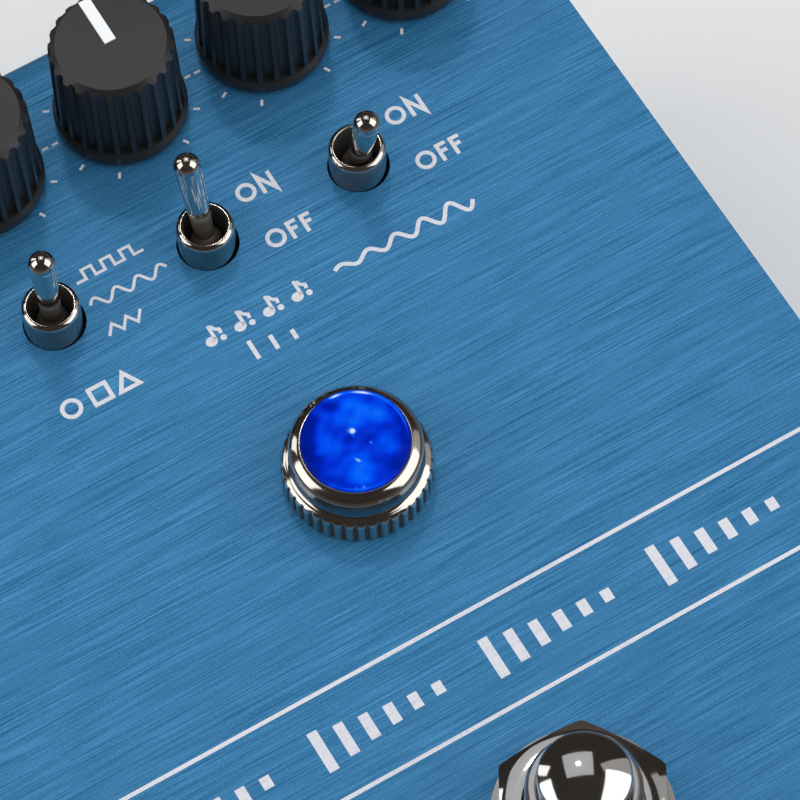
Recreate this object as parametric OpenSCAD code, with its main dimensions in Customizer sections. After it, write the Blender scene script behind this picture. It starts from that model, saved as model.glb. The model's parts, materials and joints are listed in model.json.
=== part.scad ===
// Delay pedal for an instrument: a folded aluminium shell with a sloping face, five knobs,
// three toggles, a jewel lamp, a footswitch, rear sockets and a battery door at the front.
// Millimetres. X runs across the pedal, Y from front to rear, Z up from the floor.

/* [Enclosure] */
// Width of the shell
body_w = 100; // [97:1:120]
// Depth of the shell, front to rear
body_d = 124; // [121:1:150]
// Height of the shell at its front edge
front_h = 36; // [36:1:46]
// Slope of the face, in degrees
face_tilt = 6.5; // [5:0.5:9]
// Thickness of the shell's walls
wall = 2; // [1.6:0.1:2.4]
// Outside radius of the folds along the front and rear of the face
fold_r = 4; // [3:0.5:6]
// Radius of the two side edges of the face
edge_r = 1.5; // [0.8:0.1:2.5]
// Radius of the upright corners
corner_r = 3; // [2:0.5:5]
// Thickness of the base plate
base_t = 1.5; // [1.2:0.1:2.5]
// Height of the rubber feet
foot_h = 3.5; // [2.5:0.5:8]
// Radius of the rubber feet
foot_r = 7; // [5:0.5:9]
// Radius of the base screws' threads
screw_r = 1.5; // [1.2:0.1:1.8]

/* [Face layout] */
// Knob row to the rear edge of the face
knob_to_rear = 13; // [12:0.5:15]
// Knob row to the toggle row
knob_to_toggle = 19.7; // [17:0.1:21]
// Toggle row to the jewel lamp
toggle_to_jewel = 32.6; // [28:0.1:34]
// Front edge of the face to the footswitch
switch_from_front = 14; // [13.5:0.5:18]
// Spacing of the knobs
knob_pitch = 18; // [16.5:0.5:18.5]
// Spacing of the toggles
toggle_pitch = 19; // [15:0.5:22]

/* [Knobs] */
// Radius of a knob at its foot
knob_r = 7.5; // [7.2:0.1:8]
// Radius of a knob at its top
knob_top_r = 6.9; // [6.7:0.1:7.2]
// Height of a knob
knob_h = 13.5; // [11.5:0.5:18]
// Number of grip flutes round a knob
knob_flutes = 24; // [12:1:36]
// Radius of the turning shafts
shaft_r = 3; // [2.6:0.1:3.1]
// Radius of the threaded collar round a shaft
collar_r = 3.5; // [3.4:0.1:3.7]
// Width of the light line let into a knob's top
pointer_w = 1.4; // [0.8:0.1:2]

/* [Toggles] */
// Radius of a toggle's bushing
bushing_r = 3.175; // [3:0.025:3.4]
// Height of a bushing above the face
bushing_h = 4.8; // [4.2:0.1:6]
// Gap between a bushing and its hole in the face
bushing_gap = 0.3; // [0.2:0.025:0.5]
// Length of a lever above its pivot
lever_len = 14; // [11:0.5:18]
// Lean of a lever to each side, in degrees
lever_lean = 12.5; // [8:0.5:13]

/* [Jewel lamp] */
// Radius of the knurled ring
bezel_r = 8; // [7.8:0.1:9]
// Height of the knurled ring
knurl_h = 3.5; // [2.5:0.1:4]
// Height of the bezel's lip above the face
bezel_h = 7.4; // [7:0.1:9]
// Number of lobes round the knurled ring
knurl_count = 40; // [24:1:60]
// Radius of the glass inside the lip
glass_r = 5.9; // [5.2:0.1:6]
// Rise of the glass above the lip
glass_rise = 1.9; // [1:0.1:3]

/* [Footswitch] */
// Radius of the footswitch's threaded bushing
stomp_r = 6; // [5.6:0.1:6.5]
// Height of that bushing above the face
stomp_h = 8.5; // [7:0.5:12]
// Radius of the button
button_r = 4.8; // [4.2:0.1:5]
// Height of the button's crown above its bushing
button_rise = 4.5; // [4:0.5:8]
// Travel of the button
button_travel = 3; // [2:0.1:3.2]
// Width of the switch's case
stomp_case_w = 17; // [15:0.5:19]
// Height of the switch's case
stomp_case_h = 8; // [7.8:0.1:8.5]

/* [Rear sockets] */
// Radius of the plug's bore in an instrument socket
plug_r = 3.25; // [3.2:0.05:3.4]
// Depth of that bore
plug_depth = 31; // [28:0.5:32]
// Radius of a socket's threaded nose
nose_r = 4.75; // [4.4:0.05:5]
// Length of a socket's nose behind the rear wall
jack_out = 5; // [4:0.5:7]
// Distance of a socket from the middle
jack_x = 28; // [27:0.5:29]
// Height of the sockets above the base plate
jack_rise = 21; // [18:0.5:23]
// Radius of the power socket's well
power_r = 3.1; // [2.8:0.1:3.4]
// Radius of the power socket's centre pin
power_pin_r = 1.05; // [1:0.05:1.25]
// Travel of the light switch's slider
slider_travel = 2; // [1.5:0.1:2.4]

/* [Battery door] */
// Width of the door's opening
door_w = 62; // [50:1:66]
// Height of the door's opening
door_h = 22; // [22:0.5:24]
// Height of the sill under the opening
sill_h = 2; // [1.6:0.1:2.4]
// Gap round the door
door_gap = 0.4; // [0.3:0.05:0.6]
// Radius of the door's hinge barrel
barrel_r = 1.6; // [1.4:0.05:1.7]
// Radius of the hinge pin
hinge_pin_r = 0.7; // [0.5:0.05:0.8]
// Width of the block battery
battery_w = 26.5; // [24:0.5:27]
// Length of the block battery without its snaps
battery_len = 45.5; // [42:0.5:48]
// Thickness of the block battery
battery_t = 17.5; // [15:0.5:17.5]

/* [Hidden] */
$fn = 64;
cut = 1;               // how far a cutting solid runs past a face
fit = 0.05;            // radial clearance of a shaft, a pin or a thread
slack = 0.3;           // clearance between loose neighbours
seat = 0.1;            // gap under a shaft or a spring that ends on a seat

z_shell = foot_h + base_t;
z_front = z_shell + front_h;
y_front = -(body_d + jack_out) / 2;
y_rear = y_front + body_d;
y_mid = (y_front + y_rear) / 2;
face_len = body_d / cos(face_tilt);
knob_s = face_len - knob_to_rear;
toggle_s = knob_s - knob_to_toggle;
jewel_s = toggle_s - toggle_to_jewel;

// Row-frame place of a point on the face: s along the slope, h above it
function face_y(s, h) = y_front + s * cos(face_tilt) - h * sin(face_tilt);
function face_z(s, h) = z_front + s * sin(face_tilt) + h * cos(face_tilt);

// Corner posts and base fixings
post_r = 3.8;
post_h = 14;
post_in = wall + post_r - 0.6;
thread_depth = 11;
screw_len = 9;
screw_head_r = 2 * screw_r - 0.2;
screw_head_h = screw_head_r - screw_r;
foot_in_x = 15;
foot_in_y = 17;
plate_in = 0.3;

// Boards
board_drop = 9;
board_t = 1.6;
board_in = wall + 4;
board_s0 = jewel_s - 10;
board_s1 = face_len - board_in;
board_x = body_w / 2 - board_in;
standoff_in = 4;
standoff_s = [board_s0 + standoff_in, toggle_s];
standoff_bore_r = 1.25;
standoff_r = 2.9;
standoff_bore_h = 5;
board_screw_reach = 4.5;
board_screw_head_h = 1.5;
board_screw_socket_r = 0.9;
board_screw_socket_h = 0.8;

// Components under the control board
chip_t = 1.6;
chip_drop = 15;
chip_x = 20;
processor_w = 14;
converter_w = 10;
converter_d = 7.5;
amplifier_w = 4;
amplifier_d = 5;
amplifier_drop = 1;
amplifier_x = [-30, -14, 14, 30];
capacitor_r = 3.15;
capacitor_h = 6;
capacitor_base_w = 6.6;
capacitor_base_t = 1;
capacitor_rise = 8;
capacitor_x = [-36, -28, 28, 36];

// Potentiometers
pot_w = 9.6;
pot_d = 11;
collar_h = 4.5;
nut_t = 2;
nut_flat = 2 * collar_r + 3;
shaft_top = knob_h - 1;
shaft_tail = 3.5;
knob_lift = 0.8;
knob_well_r = nut_flat / 2 / cos(30) + slack;
knob_well_h = collar_h + slack - knob_lift;
flute_r = 0.65;
flute_depth = 0.4;
pointer_depth = 1.2;
pointer_proud = 0.15;
knob_edge = 0.8;

// Toggles
pivot_h = 0.8;
ball_r = 1.9;
throat_r = ball_r + 0.1;
mouth_r = bushing_r - 0.6;
mouth_h = 2.6;
bushing_round = 0.5;
play_x = -0.6 * bushing_gap;
play_s = -0.65 * bushing_gap;
toggle_w = 7;
toggle_d = 12.7;
toggle_top = -wall - 1;
lever_rest = [0, -lever_lean, lever_lean];
neck_r = 1.05;
tip_r = 1.5;
tail_r = 0.9;
tail_len = 5;
tail_bore_r = 2.4;
tail_bore_h = 2;

// Jewel lamp
barrel_in_r = 3.2;
lamp_r = glass_r + fit + 0.1;
lens_flange_r = lamp_r + 0.2;
lamp_top = knurl_h + 1;
lip_h = 1.1;
lamp_tail = board_drop - 0.8;
lamp_nut_t = 2.2;
led_r = 2.5;
led_flange_r = 2.9;
led_leg = 0.6;
led_flange_t = 1;
led_lift = 3;
led_straight = board_drop + lamp_top - slack - led_r - led_lift;
ring_r = bezel_r - 0.8;
ring_round = 1.3;
knurl_r = 0.62;
knurl_root = 0.3;
knurl_bevel_w = 0.55;
knurl_bevel_h = 0.6;

// Footswitch
stomp_drop = wall + 2;
stomp_washer_t = 0.8;
stomp_nut_t = 2.5;
stomp_nut_flat = 2 * stomp_r + 5;
stomp_lock_flat = 2 * stomp_r + 4;
button_tail = 2;
crown_h = 1.4;
spring_wire_r = 0.25;
spring_turns = 3.5;
spring_floor = 0.6;
spring_steps = 12;

// Rear sockets
jack_w = 20;
jack_tall = 16;
jack_len = 30;
jack_washer_t = 0.8;
jack_nut_t = 2.2;
jack_nut_flat = 2 * nose_r + 3.2;
jack_z = z_shell + jack_rise;
jack_board_z = jack_z - jack_tall / 2;
jack_board_d = jack_len + 6;
jack_board_edge = 2;
jack_board_x = jack_x + jack_w / 2 + jack_board_edge;
power_w = 9.6;
power_len = 13;
power_tall = 11.4;
power_nose_r = power_r + 1.5;
power_depth = 9.5;
power_axis_z = jack_board_z + power_tall / 2;
slide_w = 9;
slide_x = power_w / 2 + slide_w / 2 + 2;
slide_d = 3.8;
slide_tall = 3.8;
slider_w = 2;
slider_tall = 1.6;
slider_out = 1.4;
slider_tongue = 1.5;

// Battery door, tray and battery
z_sill = z_shell + sill_h;
door_top = z_sill + door_h - door_gap;
hinge_y = y_front + barrel_r;
hinge_z = z_sill + door_gap + barrel_r;
ear_w = 6;
ear_d = 2 * barrel_r + 1;
lip_t = 2;
lip_over = 9;
lip_beyond = 3;
lip_gap = 0.25;
magnet_r = 2.5;
magnet_t = 1.2;
magnet_x = door_w / 2 - lip_over / 2;
magnet_z = door_top - 5;
scoop_r = 8;
scoop_up = 5;
scoop_t = wall * 0.6;
tray_t = 1.2;
tray_y = y_front + wall + lip_gap + lip_t + 1;
bay_gap = 1;
switch_low = face_z(switch_from_front - stomp_case_w / 2, -stomp_drop - stomp_case_h);
tray_floor = min(hinge_z + barrel_r + slack, switch_low - bay_gap - battery_t);
tray_side = 9;
battery_y = tray_y + 0.5;
snap_gap = 12.7;
snap_r = 2.9;
snap_len = 3;
clip_t = 3.4;
clip_y = battery_y + battery_len + slack;
clip_tall = 13;

// Ribbon leads and their headers
ribbon_t = 0.8;
ribbon_w = 10;
ribbon_steps = 14;
header_w = 12;
header_d = 5;
header_t = 4;
board_header_s = toggle_s - 14;
switch_header_s = board_s0 + header_d;
jack_header_y = y_rear - wall - jack_board_d + header_d;

BLUE = [0.22, 0.47, 0.66];
CHROME = [0.78, 0.77, 0.75];
STEEL = [0.62, 0.63, 0.65];
BLACK = [0.06, 0.06, 0.07];
GREEN = [0.05, 0.24, 0.13];
BRASS = [0.78, 0.62, 0.28];

// Puts its children on the sloping face: x across, s up the slope, h above it
module on_face(x, s, h = 0)
    translate([0, y_front, z_front]) rotate([face_tilt, 0, 0]) translate([x, s, h]) children();

// Places its children at every knob, toggle hole and toggle, which takes up the play in its hole
module at_knobs() for (i = [0:4]) on_face((i - 2) * knob_pitch, knob_s) children();
module at_toggle_holes() for (i = [0:2]) on_face((i - 1) * toggle_pitch, toggle_s) children();
module at_toggle(i) on_face((i - 1) * toggle_pitch + play_x, toggle_s + play_s) children();
module at_toggles() for (i = [0:2]) at_toggle(i) children();

// Places its children at the four corner posts
module at_posts()
    for (x = [-1, 1], y = [y_front + post_in, y_rear - post_in])
        translate([x * (body_w / 2 - post_in), y, 0]) children();

// Extrudes a (y, z) outline across the pedal
module across(w) translate([-w / 2, 0, 0]) rotate([90, 0, 90]) linear_extrude(w) children();

// A flat ring, and a six-sided nut
module ring(outer, inner, t)
    difference() {
        cylinder(r = outer, h = t);
        translate([0, 0, -cut]) cylinder(r = inner, h = t + 2 * cut);
    }
module hex_nut(flat, inner, t)
    difference() {
        cylinder(r = flat / 2 / cos(30), h = t, $fn = 6);
        translate([0, 0, -cut]) cylinder(r = inner, h = t + 2 * cut);
    }

// A box centred on x and y that stands on z = 0
module block(size) translate([-size[0] / 2, -size[1] / 2, 0]) cube(size);

// The sliver outside the circle that rounds corner p between the neighbours a and b
module corner_sliver(a, p, b, r) {
    u = (a - p) / norm(a - p);
    v = (b - p) / norm(b - p);
    half = acos(u * v) / 2;
    reach = r / tan(half);
    centre = p + (u + v) / norm(u + v) * r / sin(half);
    difference() {
        polygon([p, p + u * reach, centre, p + v * reach]);
        translate(centre) circle(r);
    }
}

// An outline with the corners listed in rounded rounded to radius r
module rounded_outline(p, rounded, r)
    difference() {
        polygon(p);
        for (i = rounded)
            corner_sliver(p[(i + len(p) - 1) % len(p)], p[i], p[(i + 1) % len(p)], r);
    }

// Side view of the shell, drawn in by inset
function slope_z(y, inset) = z_front + (y - y_front) * tan(face_tilt) - inset / cos(face_tilt);
module side_outline(inset, bottom, r) {
    y0 = y_front + inset;
    y1 = y_rear - inset;
    rounded_outline([[y0, bottom], [y0, slope_z(y0, inset)], [y1, slope_z(y1, inset)], [y1, bottom]],
        [1, 2], r);
}

// The shell's outer form: its side view, with rounded side edges and upright corners
module shell_form() {
    half_w = body_w / 2;
    run = face_len + 2 * front_h;
    intersection() {
        across(body_w) side_outline(0, z_shell, fold_r);
        on_face(0, run - front_h) rotate([90, 0, 0]) linear_extrude(run)
            rounded_outline([[-half_w, -run], [-half_w, 0], [half_w, 0], [half_w, -run]], [1, 2], edge_r);
        linear_extrude(z_front + body_d)
            rounded_outline([[-half_w, y_front], [-half_w, y_rear], [half_w, y_rear], [half_w, y_front]],
                [0, 1, 2, 3], corner_r);
    }
}

// Ears for the hinge pin, and the lip that the door's magnets meet
module door_frame()
    for (side = [-1, 1]) {
        translate([side > 0 ? door_w / 2 : -door_w / 2 - ear_w, y_front + wall / 2, z_shell])
            cube([ear_w, ear_d - wall / 2, hinge_z + barrel_r + 1 - z_shell]);
        translate([side > 0 ? door_w / 2 - lip_over : -door_w / 2 - lip_beyond,
            y_front + wall / 2, hinge_z + barrel_r + 2])
            cube([lip_over + lip_beyond, wall / 2 + lip_gap + lip_t,
                z_sill + door_h + 2 - hinge_z - barrel_r - 2]);
    }

// The half of the shell's form above the underside of the face, and the walls below it
module above_face()
    on_face(0, 0, -wall) translate([-body_w, -body_d, 0]) cube([2 * body_w, 3 * body_d, body_d]);
module below_face() difference() {
    shell_form();
    above_face();
}

// A slice of the pedal from y0 to y1, over its full width and height
module slice(y0, y1) translate([-body_w, y0, 0]) cube([2 * body_w, y1 - y0, z_front + body_d]);

// Posts for the base screws along one wall, clear of the sides
module posts(y)
    for (x = [-1, 1]) intersection() {
        translate([x * (body_w / 2 - post_in), y, z_shell]) cylinder(r = post_r, h = post_h);
        translate([-body_w / 2 + wall, y_front, z_shell]) cube([body_w - 2 * wall, body_d, post_h]);
    }
module post_threads()
    at_posts() translate([0, 0, z_shell - cut]) cylinder(r = screw_r + fit, h = thread_depth + cut);

// Brushed aluminium face with the folds along its front and rear
module top_shell() color(BLUE)
    difference() {
        intersection() {
            shell_form();
            above_face();
        }
        at_knobs() translate([0, 0, -wall - cut]) cylinder(r = collar_r + fit, h = wall + 2 * cut);
        at_toggle_holes() translate([0, 0, -wall - cut])
            cylinder(r = bushing_r + bushing_gap, h = wall + 2 * cut);
        on_face(0, jewel_s, -wall - cut) cylinder(r = lamp_r + fit, h = wall + 2 * cut);
        on_face(0, switch_from_front, -wall - cut) cylinder(r = stomp_r + fit, h = wall + 2 * cut);
    }

// Front wall of the shell with the battery door's opening, hinge ears and lips
module front_wall() color(BLUE)
    difference() {
        union() {
            intersection() {
                below_face();
                slice(y_front - cut, y_front + wall);
            }
            posts(y_front + post_in);
            door_frame();
        }
        post_threads();
        translate([-door_w / 2, y_front - cut, z_sill]) cube([door_w, wall + lip_gap + cut, door_h]);
        translate([-door_w / 2, y_front - cut, z_sill])
            cube([door_w, 2 * barrel_r + slack + cut, 2 * (barrel_r + door_gap)]);
        hinge_rod(hinge_pin_r + fit / 2, door_w + 2 * ear_w - 2);
        at_magnets() translate([0, y_front + wall, 0]) rotate([-90, 0, 0])
            cylinder(r = magnet_r + fit, h = lip_t + lip_gap + cut);
    }

// Rear wall of the shell with the holes for the sockets and the light switch
module rear_wall() color(BLUE)
    difference() {
        union() {
            intersection() {
                below_face();
                slice(y_rear - wall, y_rear + cut);
            }
            posts(y_rear - post_in);
        }
        post_threads();
        for (x = [-jack_x, jack_x])
            translate([x, y_rear + cut, jack_z]) rotate([90, 0, 0])
                cylinder(r = nose_r + fit, h = wall + 2 * cut);
        translate([0, y_rear + cut, power_axis_z]) rotate([90, 0, 0])
            cylinder(r = power_nose_r + fit, h = wall + 2 * cut);
        translate([slide_x, y_rear - wall - cut, jack_board_z + slide_tall / 2 - slider_tall / 2 - slack])
            translate([-slider_w / 2 - slack, 0, 0])
                cube([slider_w + slider_travel + 2 * slack, wall + 2 * cut, slider_tall + 2 * slack]);
    }

// Both side walls of the shell
module side_walls() color(BLUE)
    difference() {
        intersection() {
            below_face();
            slice(y_front + wall, y_rear - wall);
        }
        translate([-body_w / 2 + wall, y_front, 0]) cube([body_w - 2 * wall, body_d, z_front + body_d]);
    }

// A rod along the door's hinge line
module hinge_rod(r, length)
    translate([-length / 2, hinge_y, hinge_z]) rotate([0, 90, 0]) cylinder(r = r, h = length);

// Places its children at both magnets of the door
module at_magnets() for (x = [-magnet_x, magnet_x]) translate([x, 0, magnet_z]) children();

// Steel base plate with countersunk screw holes
module base_plate() color(BLACK)
    difference() {
        translate([0, 0, foot_h]) linear_extrude(base_t) {
            half_w = body_w / 2 - plate_in;
            y0 = y_front + plate_in;
            y1 = y_rear - plate_in;
            rounded_outline([[-half_w, y0], [-half_w, y1], [half_w, y1], [half_w, y0]],
                [0, 1, 2, 3], corner_r - plate_in);
        }
        at_posts() translate([0, 0, foot_h - cut]) cylinder(r = screw_r + 2 * fit, h = base_t + 2 * cut);
        at_posts() translate([0, 0, foot_h])
            cylinder(r1 = screw_head_r + fit, r2 = screw_r + fit, h = screw_head_h);
    }

// Countersunk screws with a hexagon socket
module base_screws() color(STEEL)
    at_posts() translate([0, 0, foot_h]) difference() {
        union() {
            cylinder(r1 = screw_head_r, r2 = screw_r, h = screw_head_h);
            translate([0, 0, screw_head_h]) cylinder(r = screw_r, h = screw_len);
        }
        translate([0, 0, -cut]) cylinder(r = screw_r * 0.65, h = cut + 0.9, $fn = 6);
    }

// Round rubber feet under the base plate
module rubber_feet() color(BLACK)
    for (x = [-1, 1], y = [y_front + foot_in_y, y_rear - foot_in_y])
        translate([x * (body_w / 2 - foot_in_x), y, 0]) rotate_extrude()
            polygon([[0, 0], [foot_r - 1.4, 0], [foot_r - 0.6, 0.6], [foot_r, foot_h], [0, foot_h]]);

// Circuit board under the face, carrying the controls
module control_board() color(GREEN)
    difference() {
        on_face(0, 0, -board_drop - board_t) translate([-board_x, board_s0, 0])
            cube([2 * board_x, board_s1 - board_s0, board_t]);
        at_standoffs() translate([0, 0, -board_drop - board_t - cut])
            cylinder(r = standoff_bore_r + fit, h = board_t + 2 * cut);
    }

// Places its children at the four board standoffs
module at_standoffs()
    for (x = [-1, 1], s = standoff_s) on_face(x * (board_x - standoff_in), s) children();

// Hexagon standoffs pressed into the face, and the pan-head screws in them
module board_fixings() color(STEEL) {
    at_standoffs() translate([0, 0, -board_drop]) difference() {
        cylinder(r = standoff_r, h = board_drop - wall, $fn = 6);
        translate([0, 0, -cut]) cylinder(r = standoff_bore_r + fit, h = cut + standoff_bore_h);
    }
    at_standoffs() translate([0, 0, -board_drop - board_t]) {
        cylinder(r = standoff_bore_r, h = board_t + board_screw_reach);
        translate([0, 0, -board_screw_head_h]) difference() {
            cylinder(r = 2 * standoff_bore_r, h = board_screw_head_h);
            translate([0, 0, -cut])
                cylinder(r = board_screw_socket_r, h = cut + board_screw_socket_h, $fn = 6);
        }
    }
}

// Places its children on the underside of the control board
module under_board(x, s) on_face(x, s, -board_drop - board_t) mirror([0, 0, 1]) children();

// Signal processor, converter, amplifiers and electrolytic capacitors
module board_components() color(BLACK) {
    under_board(chip_x, toggle_s - chip_drop) block([processor_w, processor_w, chip_t]);
    under_board(-chip_x, toggle_s - chip_drop) block([converter_w, converter_d, chip_t]);
    for (x = amplifier_x)
        under_board(x, jewel_s - amplifier_drop) block([amplifier_w, amplifier_d, chip_t]);
    for (x = capacitor_x) under_board(x, jewel_s + capacitor_rise) {
        block([capacitor_base_w, capacitor_base_w, capacitor_base_t]);
        translate([0, 0, capacitor_base_t]) cylinder(r = capacitor_r, h = capacitor_h);
    }
}

// Cases of the five potentiometers
module pot_cases() color(STEEL)
    at_knobs() translate([0, 0, -board_drop]) difference() {
        block([pot_w, pot_d, board_drop - wall]);
        translate([0, 0, board_drop - wall - shaft_tail - seat])
            cylinder(r = shaft_r + fit, h = shaft_tail + seat + cut);
    }

// Threaded collars round the shafts
module pot_collars() color(BRASS)
    at_knobs() translate([0, 0, -wall]) ring(collar_r, shaft_r + fit, wall + collar_h);

// Nuts that clamp the potentiometers to the face
module pot_nuts() color(CHROME)
    at_knobs() hex_nut(nut_flat, collar_r + fit, nut_t);

// One turning shaft
module knob_shaft(i) color(STEEL)
    on_face((i - 2) * knob_pitch, knob_s, -wall - shaft_tail)
        cylinder(r = shaft_r, h = wall + shaft_tail + shaft_top);

// The light line's slot in a knob, or the line itself when drawn in by a gap
module pointer_bar(gap, proud)
    translate([-pointer_w / 2 + gap, gap, knob_lift + knob_h - pointer_depth + gap])
        cube([pointer_w - 2 * gap, knob_top_r - knob_edge - 2 * gap, pointer_depth - gap + proud]);

// One fluted knob, hollow over its nut
module knob(i) color(BLACK)
    on_face((i - 2) * knob_pitch, knob_s) difference() {
        translate([0, 0, knob_lift]) rotate_extrude()
            polygon([[0, 0], [knob_r, 0], [knob_r, 1], [knob_r - 0.3, 1.4],
                [knob_top_r, knob_h - knob_edge], [knob_top_r - knob_edge, knob_h], [0, knob_h]]);
        for (k = [0:knob_flutes - 1])
            rotate([0, 0, (k + 0.5) * 360 / knob_flutes])
                translate([knob_top_r - flute_depth + flute_r, 0, knob_lift + 1.6])
                    cylinder(r = flute_r, h = knob_h);
        translate([0, 0, knob_lift - cut]) cylinder(r = knob_well_r, h = knob_well_h + cut);
        translate([0, 0, knob_lift]) cylinder(r = shaft_r + fit / 2, h = shaft_top + slack - knob_lift);
        pointer_bar(0, cut);
    }

// One lit pointer line
module knob_pointer(i) color("white")
    on_face((i - 2) * knob_pitch, knob_s) pointer_bar(fit / 2, pointer_proud);

// Cases of the three toggle switches
module toggle_cases() color(BLACK)
    at_toggles() translate([0, 0, -board_drop]) difference() {
        block([toggle_w, toggle_d, board_drop + toggle_top]);
        translate([0, 0, board_drop + toggle_top - tail_bore_h])
            cylinder(r = tail_bore_r, h = tail_bore_h + cut);
    }

// Smooth bushings that stand through the face
module toggle_bushings() color(CHROME)
    at_toggles() rotate_extrude() difference() {
        union() {
            translate([0, toggle_top]) square([bushing_r, bushing_h - toggle_top - bushing_round]);
            translate([0, toggle_top]) square([bushing_r - bushing_round, bushing_h - toggle_top]);
            translate([bushing_r - bushing_round, bushing_h - bushing_round]) circle(bushing_round);
        }
        polygon([[-cut, toggle_top - cut], [throat_r, toggle_top - cut], [throat_r, bushing_h - mouth_h],
            [mouth_r, bushing_h], [mouth_r, bushing_h + cut], [-cut, bushing_h + cut]]);
    }

// One bat lever on its ball, leaning as it rests
module toggle_lever(i) color(CHROME)
    at_toggle(i) translate([0, 0, pivot_h]) rotate([lever_rest[i], 0, 0]) {
        sphere(ball_r);
        cylinder(r1 = neck_r, r2 = tip_r, h = lever_len - tip_r);
        translate([0, 0, lever_len - tip_r]) sphere(tip_r);
        translate([0, 0, -tail_len]) cylinder(r = tail_r, h = tail_len);
    }

// Knurled bezel that holds the glass
module jewel_bezel() color(CHROME)
    on_face(0, jewel_s) difference() {
        intersection() {
            union() {
                cylinder(r = bezel_r - knurl_root, h = bezel_h);
                for (k = [0:knurl_count - 1])
                    rotate([0, 0, k * 360 / knurl_count]) translate([bezel_r - knurl_r, 0, 0])
                        cylinder(r = knurl_r, h = knurl_h + cut);
            }
            rotate_extrude() difference() {
                union() {
                    square([bezel_r, knurl_h]);
                    polygon([[0, knurl_h], [bezel_r, knurl_h],
                        [bezel_r - knurl_bevel_w, knurl_h + knurl_bevel_h], [0, knurl_h + knurl_bevel_h]]);
                    square([ring_r, bezel_h - ring_round]);
                    translate([ring_r - ring_round, bezel_h - ring_round]) circle(ring_round);
                    square([ring_r - ring_round, bezel_h]);
                }
                translate([-2 * bezel_r, -cut]) square([2 * bezel_r, bezel_h + 2 * cut]);
            }
        }
        translate([0, 0, -cut]) cylinder(r = lamp_r + fit, h = lamp_top + cut);
        translate([0, 0, lamp_top - fit])
            cylinder(r = lens_flange_r + fit, h = bezel_h - lip_h - lamp_top + 2 * fit);
        cylinder(r = glass_r + fit, h = bezel_h + cut);
    }

// Domed glass jewel with a flange under the lip
module jewel_lens() color([0.02, 0.12, 0.85])
    on_face(0, jewel_s, lamp_top) {
        neck_h = bezel_h - lamp_top;
        dome_r = (glass_r * glass_r + glass_rise * glass_rise) / (2 * glass_rise);
        cylinder(r = lens_flange_r, h = neck_h - lip_h);
        cylinder(r = glass_r, h = neck_h);
        intersection() {
            translate([0, 0, neck_h + glass_rise - dome_r]) sphere(dome_r);
            translate([0, 0, neck_h]) cylinder(r = glass_r, h = glass_rise + cut);
        }
    }

// Threaded barrel of the lamp and the nut under the face
module jewel_mounting() color(STEEL) {
    on_face(0, jewel_s, -lamp_tail) ring(lamp_r, barrel_in_r, lamp_tail + lamp_top);
    on_face(0, jewel_s, -wall - lamp_nut_t) hex_nut(2 * lamp_r + 4, lamp_r + fit, lamp_nut_t);
}

// Light-emitting diode on its two legs
module indicator_led() color([0.1, 0.3, 0.95])
    on_face(0, jewel_s, -board_drop) {
        for (x = [-1.27, 1.27]) translate([x, 0, 0]) block([led_leg, led_leg, led_lift]);
        translate([0, 0, led_lift]) cylinder(r = led_flange_r, h = led_flange_t);
        translate([0, 0, led_lift]) cylinder(r = led_r, h = led_straight);
        translate([0, 0, led_lift + led_straight]) sphere(led_r);
    }

// Footswitch case with a well for the button's tail and its spring
module footswitch_case() color(BLACK)
    on_face(0, switch_from_front, -stomp_drop - stomp_case_h) difference() {
        block([stomp_case_w, stomp_case_w, stomp_case_h]);
        translate([0, 0, spring_floor]) cylinder(r = button_r + fit, h = stomp_case_h);
    }

// Threaded bushing of the footswitch
module footswitch_bushing() color(CHROME)
    on_face(0, switch_from_front, -stomp_drop) ring(stomp_r, button_r + fit, stomp_drop + stomp_h);

// Lock nut under the face and washer above it, then the nut on the washer
module footswitch_clamps() color(STEEL) {
    on_face(0, switch_from_front, -stomp_drop) hex_nut(stomp_lock_flat, stomp_r + fit, stomp_drop - wall);
    on_face(0, switch_from_front) ring(stomp_nut_flat / 2 + 1, stomp_r + fit, stomp_washer_t);
}
module footswitch_nut() color(CHROME)
    on_face(0, switch_from_front, stomp_washer_t) hex_nut(stomp_nut_flat, stomp_r + fit, stomp_nut_t);

// Button with a softly domed crown
module footswitch_button() color(CHROME)
    on_face(0, switch_from_front, -stomp_drop - button_tail) {
        straight = button_tail + stomp_drop + stomp_h + button_rise - crown_h;
        crown_r = (button_r * button_r + crown_h * crown_h) / (2 * crown_h);
        cylinder(r = button_r, h = straight);
        intersection() {
            translate([0, 0, straight + crown_h - crown_r]) sphere(crown_r);
            translate([0, 0, straight]) cylinder(r = button_r, h = crown_h + cut);
        }
    }

// Points and faces of a round wire wound as a spring
function wire_ring(c, out, r) = [for (k = [0:5]) c + r * (cos(60 * k) * out + [0, 0, sin(60 * k)])];
module spring(mean_r, wire_r, turns, height) {
    n = floor(turns * spring_steps);
    points = [for (j = [0:n]) let (a = 360 * turns * j / n)
        each wire_ring([mean_r * cos(a), mean_r * sin(a), wire_r + (height - 2 * wire_r) * j / n],
            [cos(a), sin(a), 0], wire_r)];
    sides = [for (j = [0:n - 1], k = [0:5]) let (a = 6 * j + k, b = 6 * j + (k + 1) % 6)
        each [[a, a + 6, b], [b, a + 6, b + 6]]];
    polyhedron(points, concat(sides, [[0, 1, 2, 3, 4, 5]], [[for (k = [5:-1:0]) 6 * n + k]]));
}

// Return spring under the button
module footswitch_spring() color(STEEL)
    on_face(0, switch_from_front, -stomp_drop - stomp_case_h + spring_floor + seat)
        spring(button_r - 1.2, spring_wire_r, spring_turns,
            stomp_case_h - spring_floor - button_tail - 2 * seat);

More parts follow.
